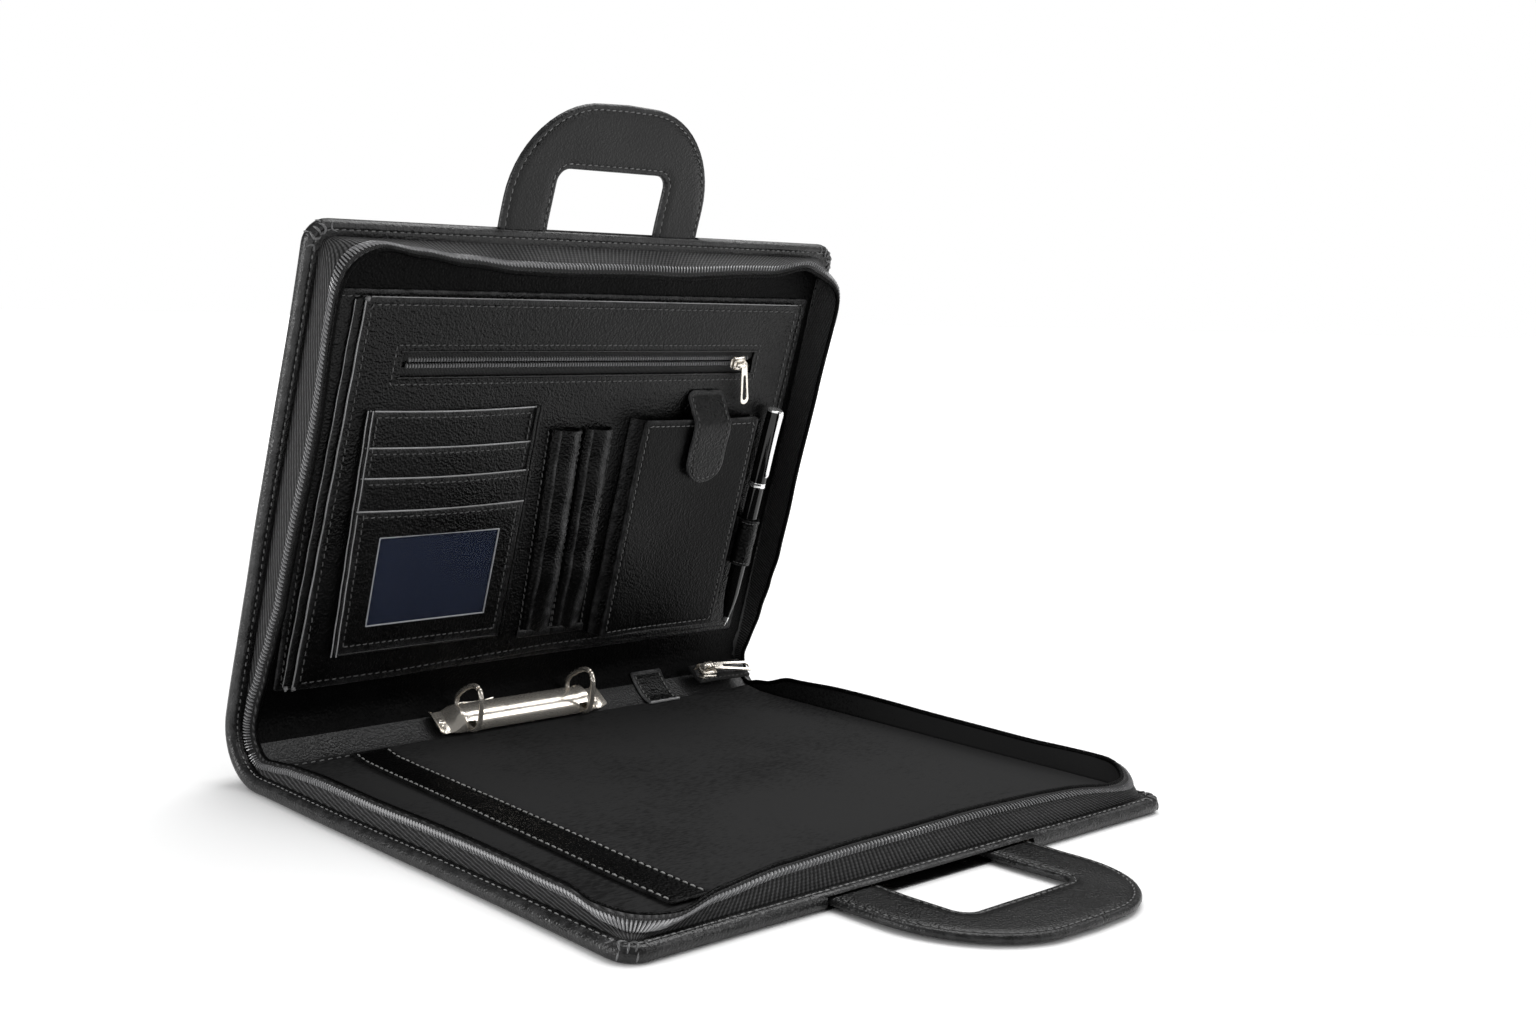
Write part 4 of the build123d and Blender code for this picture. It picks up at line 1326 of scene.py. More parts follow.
def add_panel():
    low, high = lid_extent("lid_back_sheet")
    low[1], high[1] = low[1] + 3.6, high[1] - 3.2
    place = soft_lid(90, 0.3)
    build = Build(place)
    add_plate(build, (low[0], high[0]), (low[1], high[1]), thin_rim(high[2], 1.2, 3.5), x_step=10, w_step=10)
    sheet = build.make("organiser_back_leather", [PANEL], 50)
    thread = Build(place)
    stitch_line(thread, outline_path((low[0], high[0]), (low[1], high[1]), 3.5), high[2], pitch=4.2)

    low, high = lid_extent("lid_organiser_panel")
    zip_low, zip_high = lid_extent("pocket_zip_tape")
    window = (zip_low[0], zip_high[0], zip_low[1], zip_high[1])
    leaf = high[2] - 1.9
    build = Build(lambda x, t, n: place(*leaning(x, t), n))
    wide = 4.6
    add_plate(build, (low[0] - wide, high[0] + 1.0), (low[1] + 1.0, high[1] - 1.0),
              thin_rim(leaf, leaf - low[2], None, 0.7),
              x_step=10, w_step=10, holes=[window])
    under = build.make("organiser_under_leaf", [PANEL], 50)

    def top_place(x, t, n):
        x, t = leaning(x, t)
        sag = 0.5 * math.sin(math.pi * max(0, min(1, (x - low[0]) / (high[0] - low[0]))))
        return on_lid(x, t, n + ripple(x, t, 70, 0.35) - sag * 0.4)

    build = Build(top_place)
    add_plate(build, (low[0], high[0]), (low[1], high[1]), thin_rim(high[2], 1.8, 3.8), x_step=8, w_step=8,
              holes=[window])
    leather_panel = build.make("organiser_panel_leather", [PANEL], 50)
    seams = Build(top_place)
    stitch_line(seams, outline_path((low[0], high[0]), (low[1], high[1]), 3.8), high[2] - 0.05, pitch=4.2)
    grown = ((window[0] - 4.4, window[1] + 3.0), (window[2] - 3.4, window[3] + 3.4))
    stitch_line(seams, outline_path(*grown, 0.0, 0.5), high[2], pitch=3.6, size=2.6)
    threads = seams.make("organiser_stitching", [THREAD])
    back_threads = thread.make("organiser_back_stitching", [THREAD])

    welt = Build(top_place)
    for t, out in ((window[2], -1), (window[3], 1)):
        points = [top_place(window[0] - 1.5 + (window[1] - window[0] + 3) * k / 40, t + out * 0.1,
                            high[2] + 0.05) for k in range(41)]
        tube(welt, points, 0.65, sides=8)
    for x in (window[0] - 0.3, window[1] + 0.3):
        points = [top_place(x + 0.3 * math.sin(k), window[2] - 1.2 + (window[3] - window[2] + 2.4) * k / 8,
                            high[2] - 0.35) for k in range(9)]
        tube(welt, points, 0.45, sides=6)
    welts = welt.make("organiser_zip_welts", [EDGE], 80)
    # thin pale tubes along the panel's left and top edges and the under leaf's left edge, with pale knots at
    # three corners: a painted highlight on the turned edges
    highlight_edges = Build(top_place)
    t0, t1 = low[1], high[1]
    for x, n, r in ((low[0] + 0.2, high[2] - 0.5, 0.45), (low[0] - wide + 0.2, leaf - 0.4, 0.28)):
        tube(highlight_edges, [top_place(x + 0.15 * math.sin(k * 0.8), t0 + 2 + (t1 - t0 - 4) * k / 60, n)
                      for k in range(61)], r, sides=6)
    tube(highlight_edges, [top_place(low[0] + 3 + (high[0] - low[0] - 6) * k / 60, t1 - 0.2, high[2] - 0.6)
                  for k in range(61)], 0.30, sides=6)
    for x, t in ((low[0] + 0.8, t1 - 1.0), (low[0] + 0.8, t0 + 1.2), (low[0] - wide + 0.8, t0 + 2.0)):
        lump(highlight_edges, top_place(x, t, high[2] - 0.3), 1.3)
    highlight_piece = highlight_edges.make("organiser_painted_highlight_edges", [PAINTED_HIGHLIGHT_LEATHER], 80)
    for piece in (sheet, under, leather_panel, threads, back_threads, welts, highlight_piece):
        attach(piece, "lid")
    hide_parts("lid_back_sheet")
    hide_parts("lid_organiser_panel")

    middle = (window[2] + window[3]) / 2
    tape, teeth = Build(top_place), Build(top_place)
    for side in (-1, 1):
        t_low, t_high = sorted((middle + side * 1.7, middle + side * 6.3))
        add_plate(tape, (window[0], window[1]), (t_low, t_high),
                  [(0.5, 10.3, 0), (0.0, 10.0, 0), (0.5, 9.2, 0)], corner=0.4, x_step=12, w_step=2)
    x = window[0] + 4
    pitch = 1.75
    while x < window[1] - 4:
        for side in (-1, 1):
            shift = pitch / 2 if side > 0 else 0
            rows = []
            for out, long, high_n in ((0.35, 0.5, 10.6), (0.8, 1.0, 11.3), (2.3, 1.0, 11.4),
                                      (2.9, 0.6, 10.5)):
                cx, ct = x + shift, middle + 0.7 + side * out
                half = pitch * 0.25 * long
                ring = [teeth.raw(top_place(cx + dx * half, ct, n), (cx * MM, ct * MM, 0))
                        for dx, n in ((-1, 10.0), (-0.7, high_n), (0.7, high_n), (1, 10.0))]
                rows.append(ring if side > 0 else ring[::-1])
            strip(teeth, rows, closed=True, caps=True)
        x += pitch
    tapes = tape.make("pocket_zip_tapes", [TAPE], 50)
    coil = teeth.make("pocket_zip_teeth", [COIL], 30)
    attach(tapes, "lid")
    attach(coil, "lid")
    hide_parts("pocket_zip_tape")
    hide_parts("pocket_zip_coil")


def lump(build, middle, size):
    """A small knot of folded leather."""
    rows = []
    for i in range(1, 7):
        polar = math.pi * i / 7
        row = []
        for k in range(10):
            angle = 2 * math.pi * k / 10
            spot = Vector((math.sin(polar) * math.cos(angle), math.sin(polar) * math.sin(angle),
                           math.cos(polar)))
            row.append(build.raw(middle + spot * size * (1 + 0.5 * noise.noise(spot * 1.7 + middle)),
                                 (0, 0, 1.0)))
        rows.append(row)
    strip(build, rows, closed=True, caps=True)


def add_cards():
    place = soft_lid()
    window_low, window_high = lid_extent("id_window_film")
    window = (window_low[0], window_high[0], window_low[1], window_high[1])
    for k in range(1, 5):
        name = "card_slot_%d" % k
        low, high = lid_extent(name)

        def bulge(x, t, n, high=high, low=low):
            across = math.sin(math.pi * max(0, min(1, (x - low[0]) / (high[0] - low[0]))))
            near = max(0.0, 1 - (high[1] - t) / 26)
            return on_lid(x, t - 0.9 * across * near, n + ripple(x, t, 70, 0.35) + 0.55 * across * near)

        build = Build(bulge)
        holes = [window] if k == 4 else []
        add_plate(build, (low[0], high[0]), (low[1], high[1]),
                  thin_rim(high[2] + 0.15, high[2] - low[2], None), corner=1.0,
                  x_step=6, w_step=6, holes=holes)
        seams = Build(bulge)
        stitch_line(seams, [(low[0] + 4, high[1] - 3.4), (high[0] - 4, high[1] - 3.4)], high[2] + 0.12,
                    pitch=3.8, size=2.6, thick=0.32)
        piece = build.make(name + "_leather", [PANEL], 50)
        line = seams.make(name + "_stitching", [THREAD])
        # a pale tube along the slot's top edge, a painted highlight on its turned edge
        highlight_fold = Build(bulge)
        tube(highlight_fold, [bulge(low[0] + (high[0] - low[0]) * m / 40, high[1] - 0.3, high[2] - 0.2)
                    for m in range(41)], 0.42, sides=6)
        highlight_fold_piece = highlight_fold.make(name + "_painted_highlight_edge", [PAINTED_HIGHLIGHT_LEATHER], 80)
        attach(highlight_fold_piece, "lid")
        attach(piece, "lid")
        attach(line, "lid")
        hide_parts(name)
        if k == 4:
            front, floor = high, low
    low, _ = lid_extent("card_slot_1")
    edge = Build(place)
    for side, x in ((-1, floor[0]), (1, front[0])):
        for shift, n in ((0.0, front[2] + 0.25), (2.6, front[2] - 0.2)):
            points = []
            for k in range(31):
                t = floor[1] - 1 + (164.0 - floor[1] + 1.5) * k / 30
                points.append(place(x + side * (shift - 1.0), t,
                                    n - 1.6 * (t - floor[1]) / 130 + 0.15 * math.sin(k * 1.3)))
            tube(edge, points, 0.75, sides=8)
            # on the left edge only, a thinner pale tube: a painted highlight
            if side < 0:
                tube(edge, [p + IN * 0.55 - Vector((0.45, 0, 0)) for p in points], 0.32, sides=6, slot=1)
    points = [place(floor[0] + (front[0] - floor[0]) * k / 30, floor[1] - 0.6, front[2] - 0.2)
              for k in range(31)]
    tube(edge, points, 0.7, sides=8)
    edges = edge.make("card_pocket_edges", [EDGE, PAINTED_HIGHLIGHT_LEATHER], 80)
    line = Build(place)
    stitch_line(line, [(floor[0] + 4.2, floor[1] + 3), (floor[0] + 4.2, 161)],
                lambda x, t: front[2] + 0.2 - (1.8 if t > 113 else 0.1), pitch=3.8)
    stitch_line(line, [(front[0] - 4.2, floor[1] + 3), (front[0] - 4.2, 161)],
                lambda x, t: front[2] + 0.2 - (1.8 if t > 113 else 0.1), pitch=3.8)
    stitch_line(line, [(floor[0] + 4.2, floor[1] + 4), (front[0] - 4.2, floor[1] + 4)], front[2] + 0.15,
                pitch=3.8)
    sides = line.make("card_pocket_side_stitching", [THREAD])
    rim = Build(place)
    corners = [(window[0], window[3]), (window[0], window[2]), (window[1], window[2]), (window[1], window[3]),
               (window[0], window[3])]
    for (ax, at), (bx, bt) in zip(corners, corners[1:]):
        points = [place(ax + (bx - ax) * k / 12, at + (bt - at) * k / 12, front[2] + 0.05) for k in range(13)]
        tube(rim, points, 0.42, sides=6)
    frame_edge = rim.make("id_window_edge", [FILM_EDGE], 80)
    card = Build(place)
    add_plate(card, (window[0] + 0.2, window[1] - 0.2), (window[2] + 0.2, window[3] - 0.2),
              [(1.0, front[2] - 0.42, 0), (0.0, front[2] - 0.5, 0), (1.0, front[2] - 0.75, 0)],
              corner=0.5, x_step=6, w_step=6)
    card_piece = card.make("id_card_blue", [CARD], 50)
    for piece in (edges, sides, frame_edge, card_piece):
        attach(piece, "lid")
    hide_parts("id_card")
    film = Build(place)
    add_plate(film, (window[0] + 0.1, window[1] - 0.1), (window[2] + 0.1, window[3] - 0.1),
              [(1.0, front[2] - 0.15, 0), (0.0, front[2] - 0.2, 0), (1.0, front[2] - 0.3, 0)],
              corner=0.5, x_step=6, w_step=6)
    film_piece = film.make("id_window_sheet", [FILM], 50)
    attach(film_piece, "lid")
    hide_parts("id_window_film")


def add_sleeves():
    lean = math.tan(math.radians(3.0))
    for name in ("left", "right"):
        low, high = lid_extent("pen_sleeve_" + name)
        t0, t1 = low[1] + 0.3, high[1] - 0.3
        centre = (low[0] + high[0]) / 2
        half = 9.7
        base = low[2]
        rows, build = [], Build(on_lid)
        count = 40
        for k in range(count + 1):
            part = k / count
            t = t0 + (t1 - t0) * part
            middle = centre - (t - (t0 + t1) / 2) * lean
            rise = (high[2] - base) * min(1.0, 0.25 + 2.4 * part) * (0.94 + 0.06 * math.sin(k * 0.7))
            pinch = 1.0 - 0.10 * max(0.0, 1 - part * 6)
            outline = [(-1.0, 0.0), (-0.97, 0.30), (-0.80, 0.62), (-0.62, 0.72), (-0.46, 0.60), (-0.25, 0.82),
                       (0.1, 1.0), (0.45, 0.98), (0.74, 0.80), (0.95, 0.45), (1.0, 0.0)]
            wall = 1.1
            row = []
            # the pleat's crest (point 3) and the right shoulder (points 7 and 8) are painted paler, a painted
            # highlight along the folds
            for i, (a, b) in enumerate(outline):
                row.append((middle + a * half * pinch, base + b * rise + 0.02,
                            1.0 if i in (3, 7, 8) else 0.0))
            inner = []
            for a, b in reversed(outline):
                inner.append((middle + a * (half - wall) * pinch,
                              base + max(0.0, b * rise - wall * (0.9 if b > 0.2 else 0)), 0.0))
            rows.append([build.raw(on_lid(x, t, n + ripple(x, t, 26, 0.3) * min(1, n - base)),
                                   (x * MM, t * MM, wear_and_highlight)) for x, n, wear_and_highlight in row + inner])
        strip(build, rows, closed=True, caps=True)
        piece = build.make("pen_sleeve_%s_leather" % name, [PANEL], 50)
        line = Build(on_lid)
        for side in (-1, 1):
            points = [(centre + side * (half + 1.6) - (t - (t0 + t1) / 2) * lean, t) for t in (t0, t1)]
            stitch_line(line, points, base + 0.25, pitch=3.9)
        threads = line.make("pen_sleeve_%s_stitching" % name, [THREAD])
        foot = Build(on_lid)
        shift = (t1 - t0) / 2 * lean
        add_plate(foot, (centre - half - 3 + shift, centre + half + 3 + shift), (t0 - 2.5, t0 + 2.5),
                  [(1.0, base + 1.5, 0.3), (0.3, base + 1.2, 1.0), (0.0, base + 0.5, 0), (1.0, base, 0)],
                  corner=1.0, x_step=4, w_step=2)
        feet = foot.make("pen_sleeve_%s_foot" % name, [PANEL], 50)
        for made in (piece, threads, feet):
            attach(made, "lid")
        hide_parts("pen_sleeve_" + name)


def add_phone_pocket():
    low, high = lid_extent("phone_pocket")
    face = high[2]
    x0, x1, t0, t1 = low[0], high[0], low[1], high[1]

    def puff(x, t, n):
        a = math.sin(math.pi * max(0, min(1, (x - x0) / (x1 - x0))))
        b = math.sin(math.pi * max(0, min(1, (t - t0 + 20) / (t1 - t0 + 40))))
        slack = 1.2 * max(0.0, 1 - (t1 - t) / 40) * a
        return on_lid(x, t - slack * 0.6, n - 1.6 * a * b + slack * 0.3 + ripple(x, t, 36, 0.45))

    build, thread = Build(puff), Build(puff)
    add_plate(build, (x0, x1), (t0, t1), thin_rim(face + 0.3, 1.9, 3.4), corner=3.0, x_step=5, w_step=5)
    front = build.make("phone_pocket_front", [POCKET], 50)
    stitch_line(thread, outline_path((x0, x1), (t0, t1), 3.4), face + 0.28, pitch=3.9, thick=0.30)
    threads = thread.make("phone_pocket_stitching", [SIDE_THREAD_PAINTED_LIGHTER])
    bellows = Build(on_lid)
    path = []
    for k in range(31):
        path.append((x0, t1 - 1.5 - (t1 - t0 - 1.5) * k / 30, -1, 0))
    for k in range(1, 21):
        path.append((x0 + (x1 - x0) * k / 20, t0, 0, -1))
    for k in range(1, 31):
        path.append((x1, t0 + (t1 - t0 - 1.5) * k / 30, 1, 0))
    tall = face - low[2]
    rows = []
    for i, (x, t, dx, dt) in enumerate(path):
        row = []
        soft = 0.35 * math.sin(i * 0.55)
        for out, part in ((-0.4, 1.0), (-1.5, 0.80), (-3.6, 0.52), (-1.4, 0.26), (1.6, 0.06), (3.0, 0.02),
                          (3.0, -0.02), (0.6, -0.04), (-2.6, 0.26), (-4.8, 0.52), (-2.7, 0.82), (-1.6, 0.98)):
            row.append(bellows.raw(on_lid(x + dx * (out + soft * (1 - part)),
                                          t + dt * (out * 0.8 + soft * (1 - part)),
                                          low[2] + 0.3 + tall * 0.96 * part),
                                   (i * MM * 3, part * 0.01, 1.0 if part in (1.0, 0.06) else 0.0)))
        rows.append(row)
    strip(bellows, rows, closed=True, caps=True)
    sides = bellows.make("phone_pocket_bellows", [PANEL], 60)
    for piece in (front, threads, sides):
        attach(piece, "lid")
    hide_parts("phone_pocket")

    low, high = lid_extent("phone_flap")
    middle, half = (low[0] + high[0]) / 2, (high[0] - low[0]) / 2
    tip, root = low[1], high[1]
    over = face + 2.6
    route = [(root, low[2] + 0.6), (root - 4, low[2] + 1.6), (163.5, low[2] + 4.4), (159.5, face - 1.6),
             (156.6, face + 1.2), (153.0, over), (147.0, over + 0.1), (140.0, over - 0.3),
             (130.0, over - 0.1), (tip, over)]
    line = smooth_points(route, 1.2)
    track = Track(line).finish()
    total = track.length[-1]
    build, thread = Build(None), Build(None)

    def flap_place(x, s, n):
        (t, m), (nt, nm) = track.at(max(0.0, min(total - 0.001, s)))
        return on_lid(middle + x, t + min(0.0, total - s) - nt * n, m - nm * n)

    build.place = thread.place = lambda x, s, n: flap_place(x, s, n)
    add_plate(build, (-half, half), (0.0, total), [(5.5, 0.7, 0), (3.4, 0.7, 0), (2.8, 0.5, 0),
                                                   (2.2, 0.72, 0.2), (0.9, 0.62, 0.8), (0.15, 0.2, 1.0),
                                                   (0.0, -0.15, 0.6), (0.3, -0.6, 0), (5.5, -0.75, 0)],
              corner=5.0, x_step=4, w_step=1.6, station_profile=None)
    piece = build.make("phone_flap_leather", [PANEL], 50)
    round_end(piece, middle, tip)
    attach(piece, "phone_flap")
    path = [(-half + 2.8, 3.0), (-half + 2.8, total - 11)]
    for k in range(1, 12):
        angle = math.pi * k / 12
        path.append((-(half - 2.8) * math.cos(angle), total - 11 + (11 - 2.8) * math.sin(angle)))
    path += [(half - 2.8, total - 11), (half - 2.8, 3.0)]
    stitch_line(thread, path, 0.62, pitch=3.8, size=2.6)
    threads = thread.make("phone_flap_stitching", [THREAD])
    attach(threads, "phone_flap")
    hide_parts("phone_flap")
    for name, body, place, top, thick in (("phone_flap_patch", "phone_flap", on_lid, over - 0.75, 0.5),
                                          ("phone_pocket_patch", "lid", puff, face + 0.75, 0.5)):
        low, high = lid_extent(name)
        build = Build(place)
        add_plate(build, (low[0], high[0]), (low[1], high[1]),
                  [(0.6, top, 0), (0.0, top - 0.1, 0), (0.0, top - thick, 0), (0.6, top - thick, 0)],
                  corner=2.0, x_step=4, w_step=4)
        patch = build.make(name + "_hooks", [HOOK], 50)
        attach(patch, body)
        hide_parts(name)


def round_end(piece, middle, tip):
    """Draws the flap's last stretch in to a half-round tip."""
    reach = 13.0
    for v in piece.data.vertices:
        p = Vector(v.co) / MM
        q = p - LID_CREASE
        t, x = q.dot(UP), p.x - middle
        if t < tip + reach:
            part = (tip + reach - t) / reach
            scale = math.sqrt(max(0.0, 1 - min(1.0, part) ** 2.2))
            v.co.x = (middle + x * max(0.12, scale)) * MM


def add_pen():
    low, high = lid_extent("pen_barrel")
    axis_x, height = (low[0] + high[0]) / 2, (low[2] + high[2]) / 2
    tip_low, tip_high = lid_extent("pen_tip")
    cap_low, cap_high = lid_extent("pen_cap")
    _, clip_high = lid_extent("pen_clip")
    radius = (high[0] - low[0]) / 2

    def place(along, across, up):
        return on_lid(axis_x + across, along, height + up)

    def turned(name, stations, material, replaced):
        build = Build(on_lid)
        lathe(build, place, stations, 36)
        piece = build.make(name, [material], 45)
        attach(piece, "pen")
        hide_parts(replaced)
        return piece

    t = tip_low[1]
    turned("pen_nib", [(t, 0.35), (t + 0.5, 0.6), (t + 2.4, 1.0), (t + 2.5, 1.35), (tip_high[1] - 0.4, 2.0),
                       (tip_high[1], 2.0)], CHROME, "pen_tip")
    body = [(low[1], 1.9), (low[1] + 4, 2.6), (low[1] + 9, 3.5), (low[1] + 16, 4.1), (low[1] + 30, radius),
            (high[1] - 2, radius), (high[1], radius - 0.1)]
    turned("pen_body", body, PEN, "pen_barrel")
    a, b = high[1], cap_low[1]
    turned("pen_centre_ring", [(a, radius - 0.1), (a + 0.1, radius + 0.35), (a + 0.9, radius + 0.5),
                               (a + 1.3, radius + 0.25), (b - 1.2, radius + 0.25), (b - 0.8, radius + 0.5),
                               (b - 0.1, radius + 0.4), (b, radius)], CHROME, "pen_ring")
    a, b = cap_low[1], cap_high[1]
    turned("pen_upper_body", [(a, radius), (a + 0.1, radius + 0.3), (a + 12, radius + 0.35),
                              (b - 8, radius + 0.1), (b - 0.2, radius - 0.3), (b, radius - 0.6)], PEN,
           "pen_cap")
    build = Build(on_lid)
    lathe(build, place, [(b, radius - 0.5), (b + 0.05, radius + 0.05), (b + 1.2, radius),
                         (b + 1.7, radius - 0.7), (clip_high[1] - 0.2, radius - 1.4), (clip_high[1], 1.4)],
          36)
    rows = []
    for k in range(25):
        part = k / 24
        along = clip_high[1] - 0.8 - (clip_high[1] - 1 - a - 4) * part
        lift = radius + (0.4 if part < 0.04 else 1.25) - 0.3 * math.sin(math.pi * part)
        lift -= 0.7 if part > 0.96 else 0
        wide = 1.55 - 0.5 * part
        rows.append([build.raw(place(along, x, lift + up), (along * MM, 0, 0)) for x, up in
                     ((-wide, 0), (-wide * 0.8, 0.55), (0, 0.8), (wide * 0.8, 0.55), (wide, 0),
                      (wide * 0.6, -0.25), (-wide * 0.6, -0.25))])
    strip(build, rows, closed=True, caps=True)
    points = [place(clip_high[1] - 1.6, 0, 1.0 + (radius + 0.6) * k / 6) for k in range(7)]
    tube(build, points, 1.2, sides=8)
    clip = build.make("pen_top_and_clip", [CHROME], 45)
    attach(clip, "pen")
    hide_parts("pen_clip")

    low, high = lid_extent("pen_loop")
    floor = low[2]
    build, thread = Build(on_lid), Build(on_lid)
    rows = []
    outer = radius + 1.75
    for i in range(13):
        t = low[1] + (high[1] - low[1]) * i / 12
        draw = 0.15 * math.sin(i * 1.1)
        ring = []
        for k in range(29):
            angle = math.radians(-118 + 236 * k / 28)
            ring.append((axis_x + (outer + draw) * math.sin(angle),
                         height + (outer + draw) * math.cos(angle)))
        loop = [(axis_x - 7.6, floor + 0.05), (axis_x - 7.6, floor + 1.3)]
        loop += ring + [(axis_x + 7.6, floor + 1.3), (axis_x + 7.6, floor + 0.05)]
        inner = []
        for k in range(29):
            angle = math.radians(118 - 236 * k / 28)
            inner.append((axis_x + (outer - 1.2 + draw) * math.sin(angle),
                          max(floor + 0.06, height + (outer - 1.2 + draw) * math.cos(angle))))
        rows.append([build.raw(on_lid(x, t, n), (x * MM, t * MM, 0.5 if i in (0, 12) else 0))
                     for x, n in loop + inner])
    strip(build, rows, closed=True, caps=True)
    piece = build.make("pen_loop_leather", [PANEL], 50)
    for end in (low[1] + 1.6, high[1] - 1.6):
        for k in range(9):
            angle = math.radians(-75 + 150 * k / 8)
            p = [on_lid(axis_x + (outer + 0.1) * math.sin(angle + s), end,
                        height + (outer + 0.1) * math.cos(angle + s)) for s in (-0.12, -0.04, 0.04, 0.12)]
            tube(thread, p, 0.26, sides=5)
    threads = thread.make("pen_loop_stitching", [THREAD])
    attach(piece, "lid")
    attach(threads, "lid")
    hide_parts("pen_loop")


# ---------------------------------------------------------------- ring mechanism
def back_extent(node_name):
    """Lowest and highest (x, s, n) of a node in the spine's own frame."""
    found = []
    for v in frame["nodes"][node_name].data.vertices:
        p = Vector(v.co) / MM
        q = p - BASE_CREASE
        found.append((p.x, q.dot(CHORD), q.dot(RISE)))
    return [min(f[i] for f in found) for i in range(3)], [max(f[i] for f in found) for i in range(3)]


METAL_RIM = [(0.5, 0.0, 0), (0.15, -0.06, 0), (0.0, -0.22, 0), (0.0, -0.55, 0), (0.15, -0.72, 0),
             (0.5, -0.8, 0)]


def metal_rim(top, thick):
    return [(d, top + n * thick / 0.8, wear_and_highlight) for d, n, wear_and_highlight in METAL_RIM]


def add_rings():
    low, high = back_extent("ring_base_plate")
    high[0] -= 6.0
    middle_x, middle_s = (low[0] + high[0]) / 2, (low[1] + high[1]) / 2
    build = Build(on_back)
    add_plate(build, (low[0] + 4, high[0] - 4), (low[1] + 2, high[1] - 1), metal_rim(high[2], 1.0),
              corner=6.0, x_step=8, w_step=4)
    plate = build.make("ring_mechanism_plate", [NICKEL], 45)
    cover_low, cover_high = back_extent("ring_cover")
    half, tall, floor = (cover_high[1] - cover_low[1]) / 2, cover_high[2] - cover_low[2], cover_low[2]
    arc = math.pi * math.sqrt((half ** 2 + tall ** 2) / 2)
    reach = (high[0] - low[0]) / 2 - 0.4
    body = (cover_high[0] - cover_low[0]) / 2 - 3.0

    def dome(x, a, n):
        away = abs(x)
        flat = between([(body - 7, 1.0), (body + 0.5, 0.09)], away)
        lip = 2.0 * between([(reach - 3.4, 0.0), (reach, 1.0)], away) ** 2
        wide = between([(body - 5, 1.0), (body, 0.84), (reach, 0.80)], away)
        crown = between([(body - 12, 0.0), (body - 6.5, 0.7), (body - 1, 0.0)], away)
        angle = math.pi * (a / arc - 0.5)
        up = (tall * flat + crown) * math.cos(angle)
        side = half * wide * math.sin(angle)
        ny, nz = math.sin(angle) * flat, max(0.15, math.cos(angle))
        size = math.hypot(ny, nz)
        return on_back(middle_x + x, middle_s + side + n * ny / size,
                       floor + 0.85 + up * 0.9 + lip + n * nz / size)

    ring_low, _ = back_extent("ring_half_front")
    _, ring_high = back_extent("ring_half_back")
    centres = (ring_low[0] + 7 - middle_x, ring_high[0] - 12 - middle_x)
    holes = []
    for x in centres:
        for a, b in ((1.3, 7.2), (arc - 7.2, arc - 1.3)):
            holes.append((x - 2.7, x + 2.7, a, b))
    build = Build(dome)
    add_plate(build, (-reach, reach), (0.0, arc), metal_rim(0.0, 0.8), corner=3.0, holes=holes, x_step=2.0,
              w_step=1.3)
    piece = build.make("ring_mechanism_cover", [NICKEL], 40)
    rivet_low, rivet_high = back_extent("ring_rivets")
    build = Build(on_back)
    for x in (rivet_low[0] + 4, rivet_high[0] - 10):
        def upright(along, across, up, x=x):
            return on_back(x + across, middle_s + up, along)
        lathe(build, upright, [(-1.9, 2.3), (0.25, 2.3), (0.3, 2.9), (0.75, 2.85), (1.2, 2.1), (1.38, 1.1),
                               (1.1, 0.9), (1.0, 0.2)], 28)
    rivets = build.make("ring_mechanism_rivets", [NICKEL], 35)
    build = Build(on_back)
    points = [on_back(middle_x - 38 + 1.6 * k, middle_s + half + 1.0 + 0.5 * math.sin(k * 0.5),
                      0.5 + 0.25 * math.sin(k * 0.9)) for k in range(17)]
    tube(build, points, 0.55, sides=8)
    rods = build.make("ring_mechanism_spring", [NICKEL], 45)
    for made in (plate, piece, rivets, rods):
        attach(made, "spine")
    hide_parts("ring_base_plate")
    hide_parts("ring_cover")
    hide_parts("ring_rivets")
    knots = [(0.05, 23.7), (2.2, 23.1), (4.9, 20.8), (7.4, 17.0), (9.5, 12.8), (11.1, 8.8), (11.35, 5.4),
             (10.2, 2.7), (8.0, 1.1), (5.2, 0.6)]
    for name, side in (("front", -1), ("back", 1)):
        build = Build(on_back)
        for x in centres:
            path = smooth_points(knots, 0.5)
            tube(build, [on_back(middle_x + x + 0.4 * math.sin(n * 0.2), middle_s + side * d, n)
                         for d, n in path],
                 lambda part: 1.42 if part > 0.03 else 1.15 + part * 9, sides=14)
        piece = build.make("ring_wire_" + name, [NICKEL], 50)
        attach(piece, "ring_" + name)
        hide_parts("ring_half_" + name)


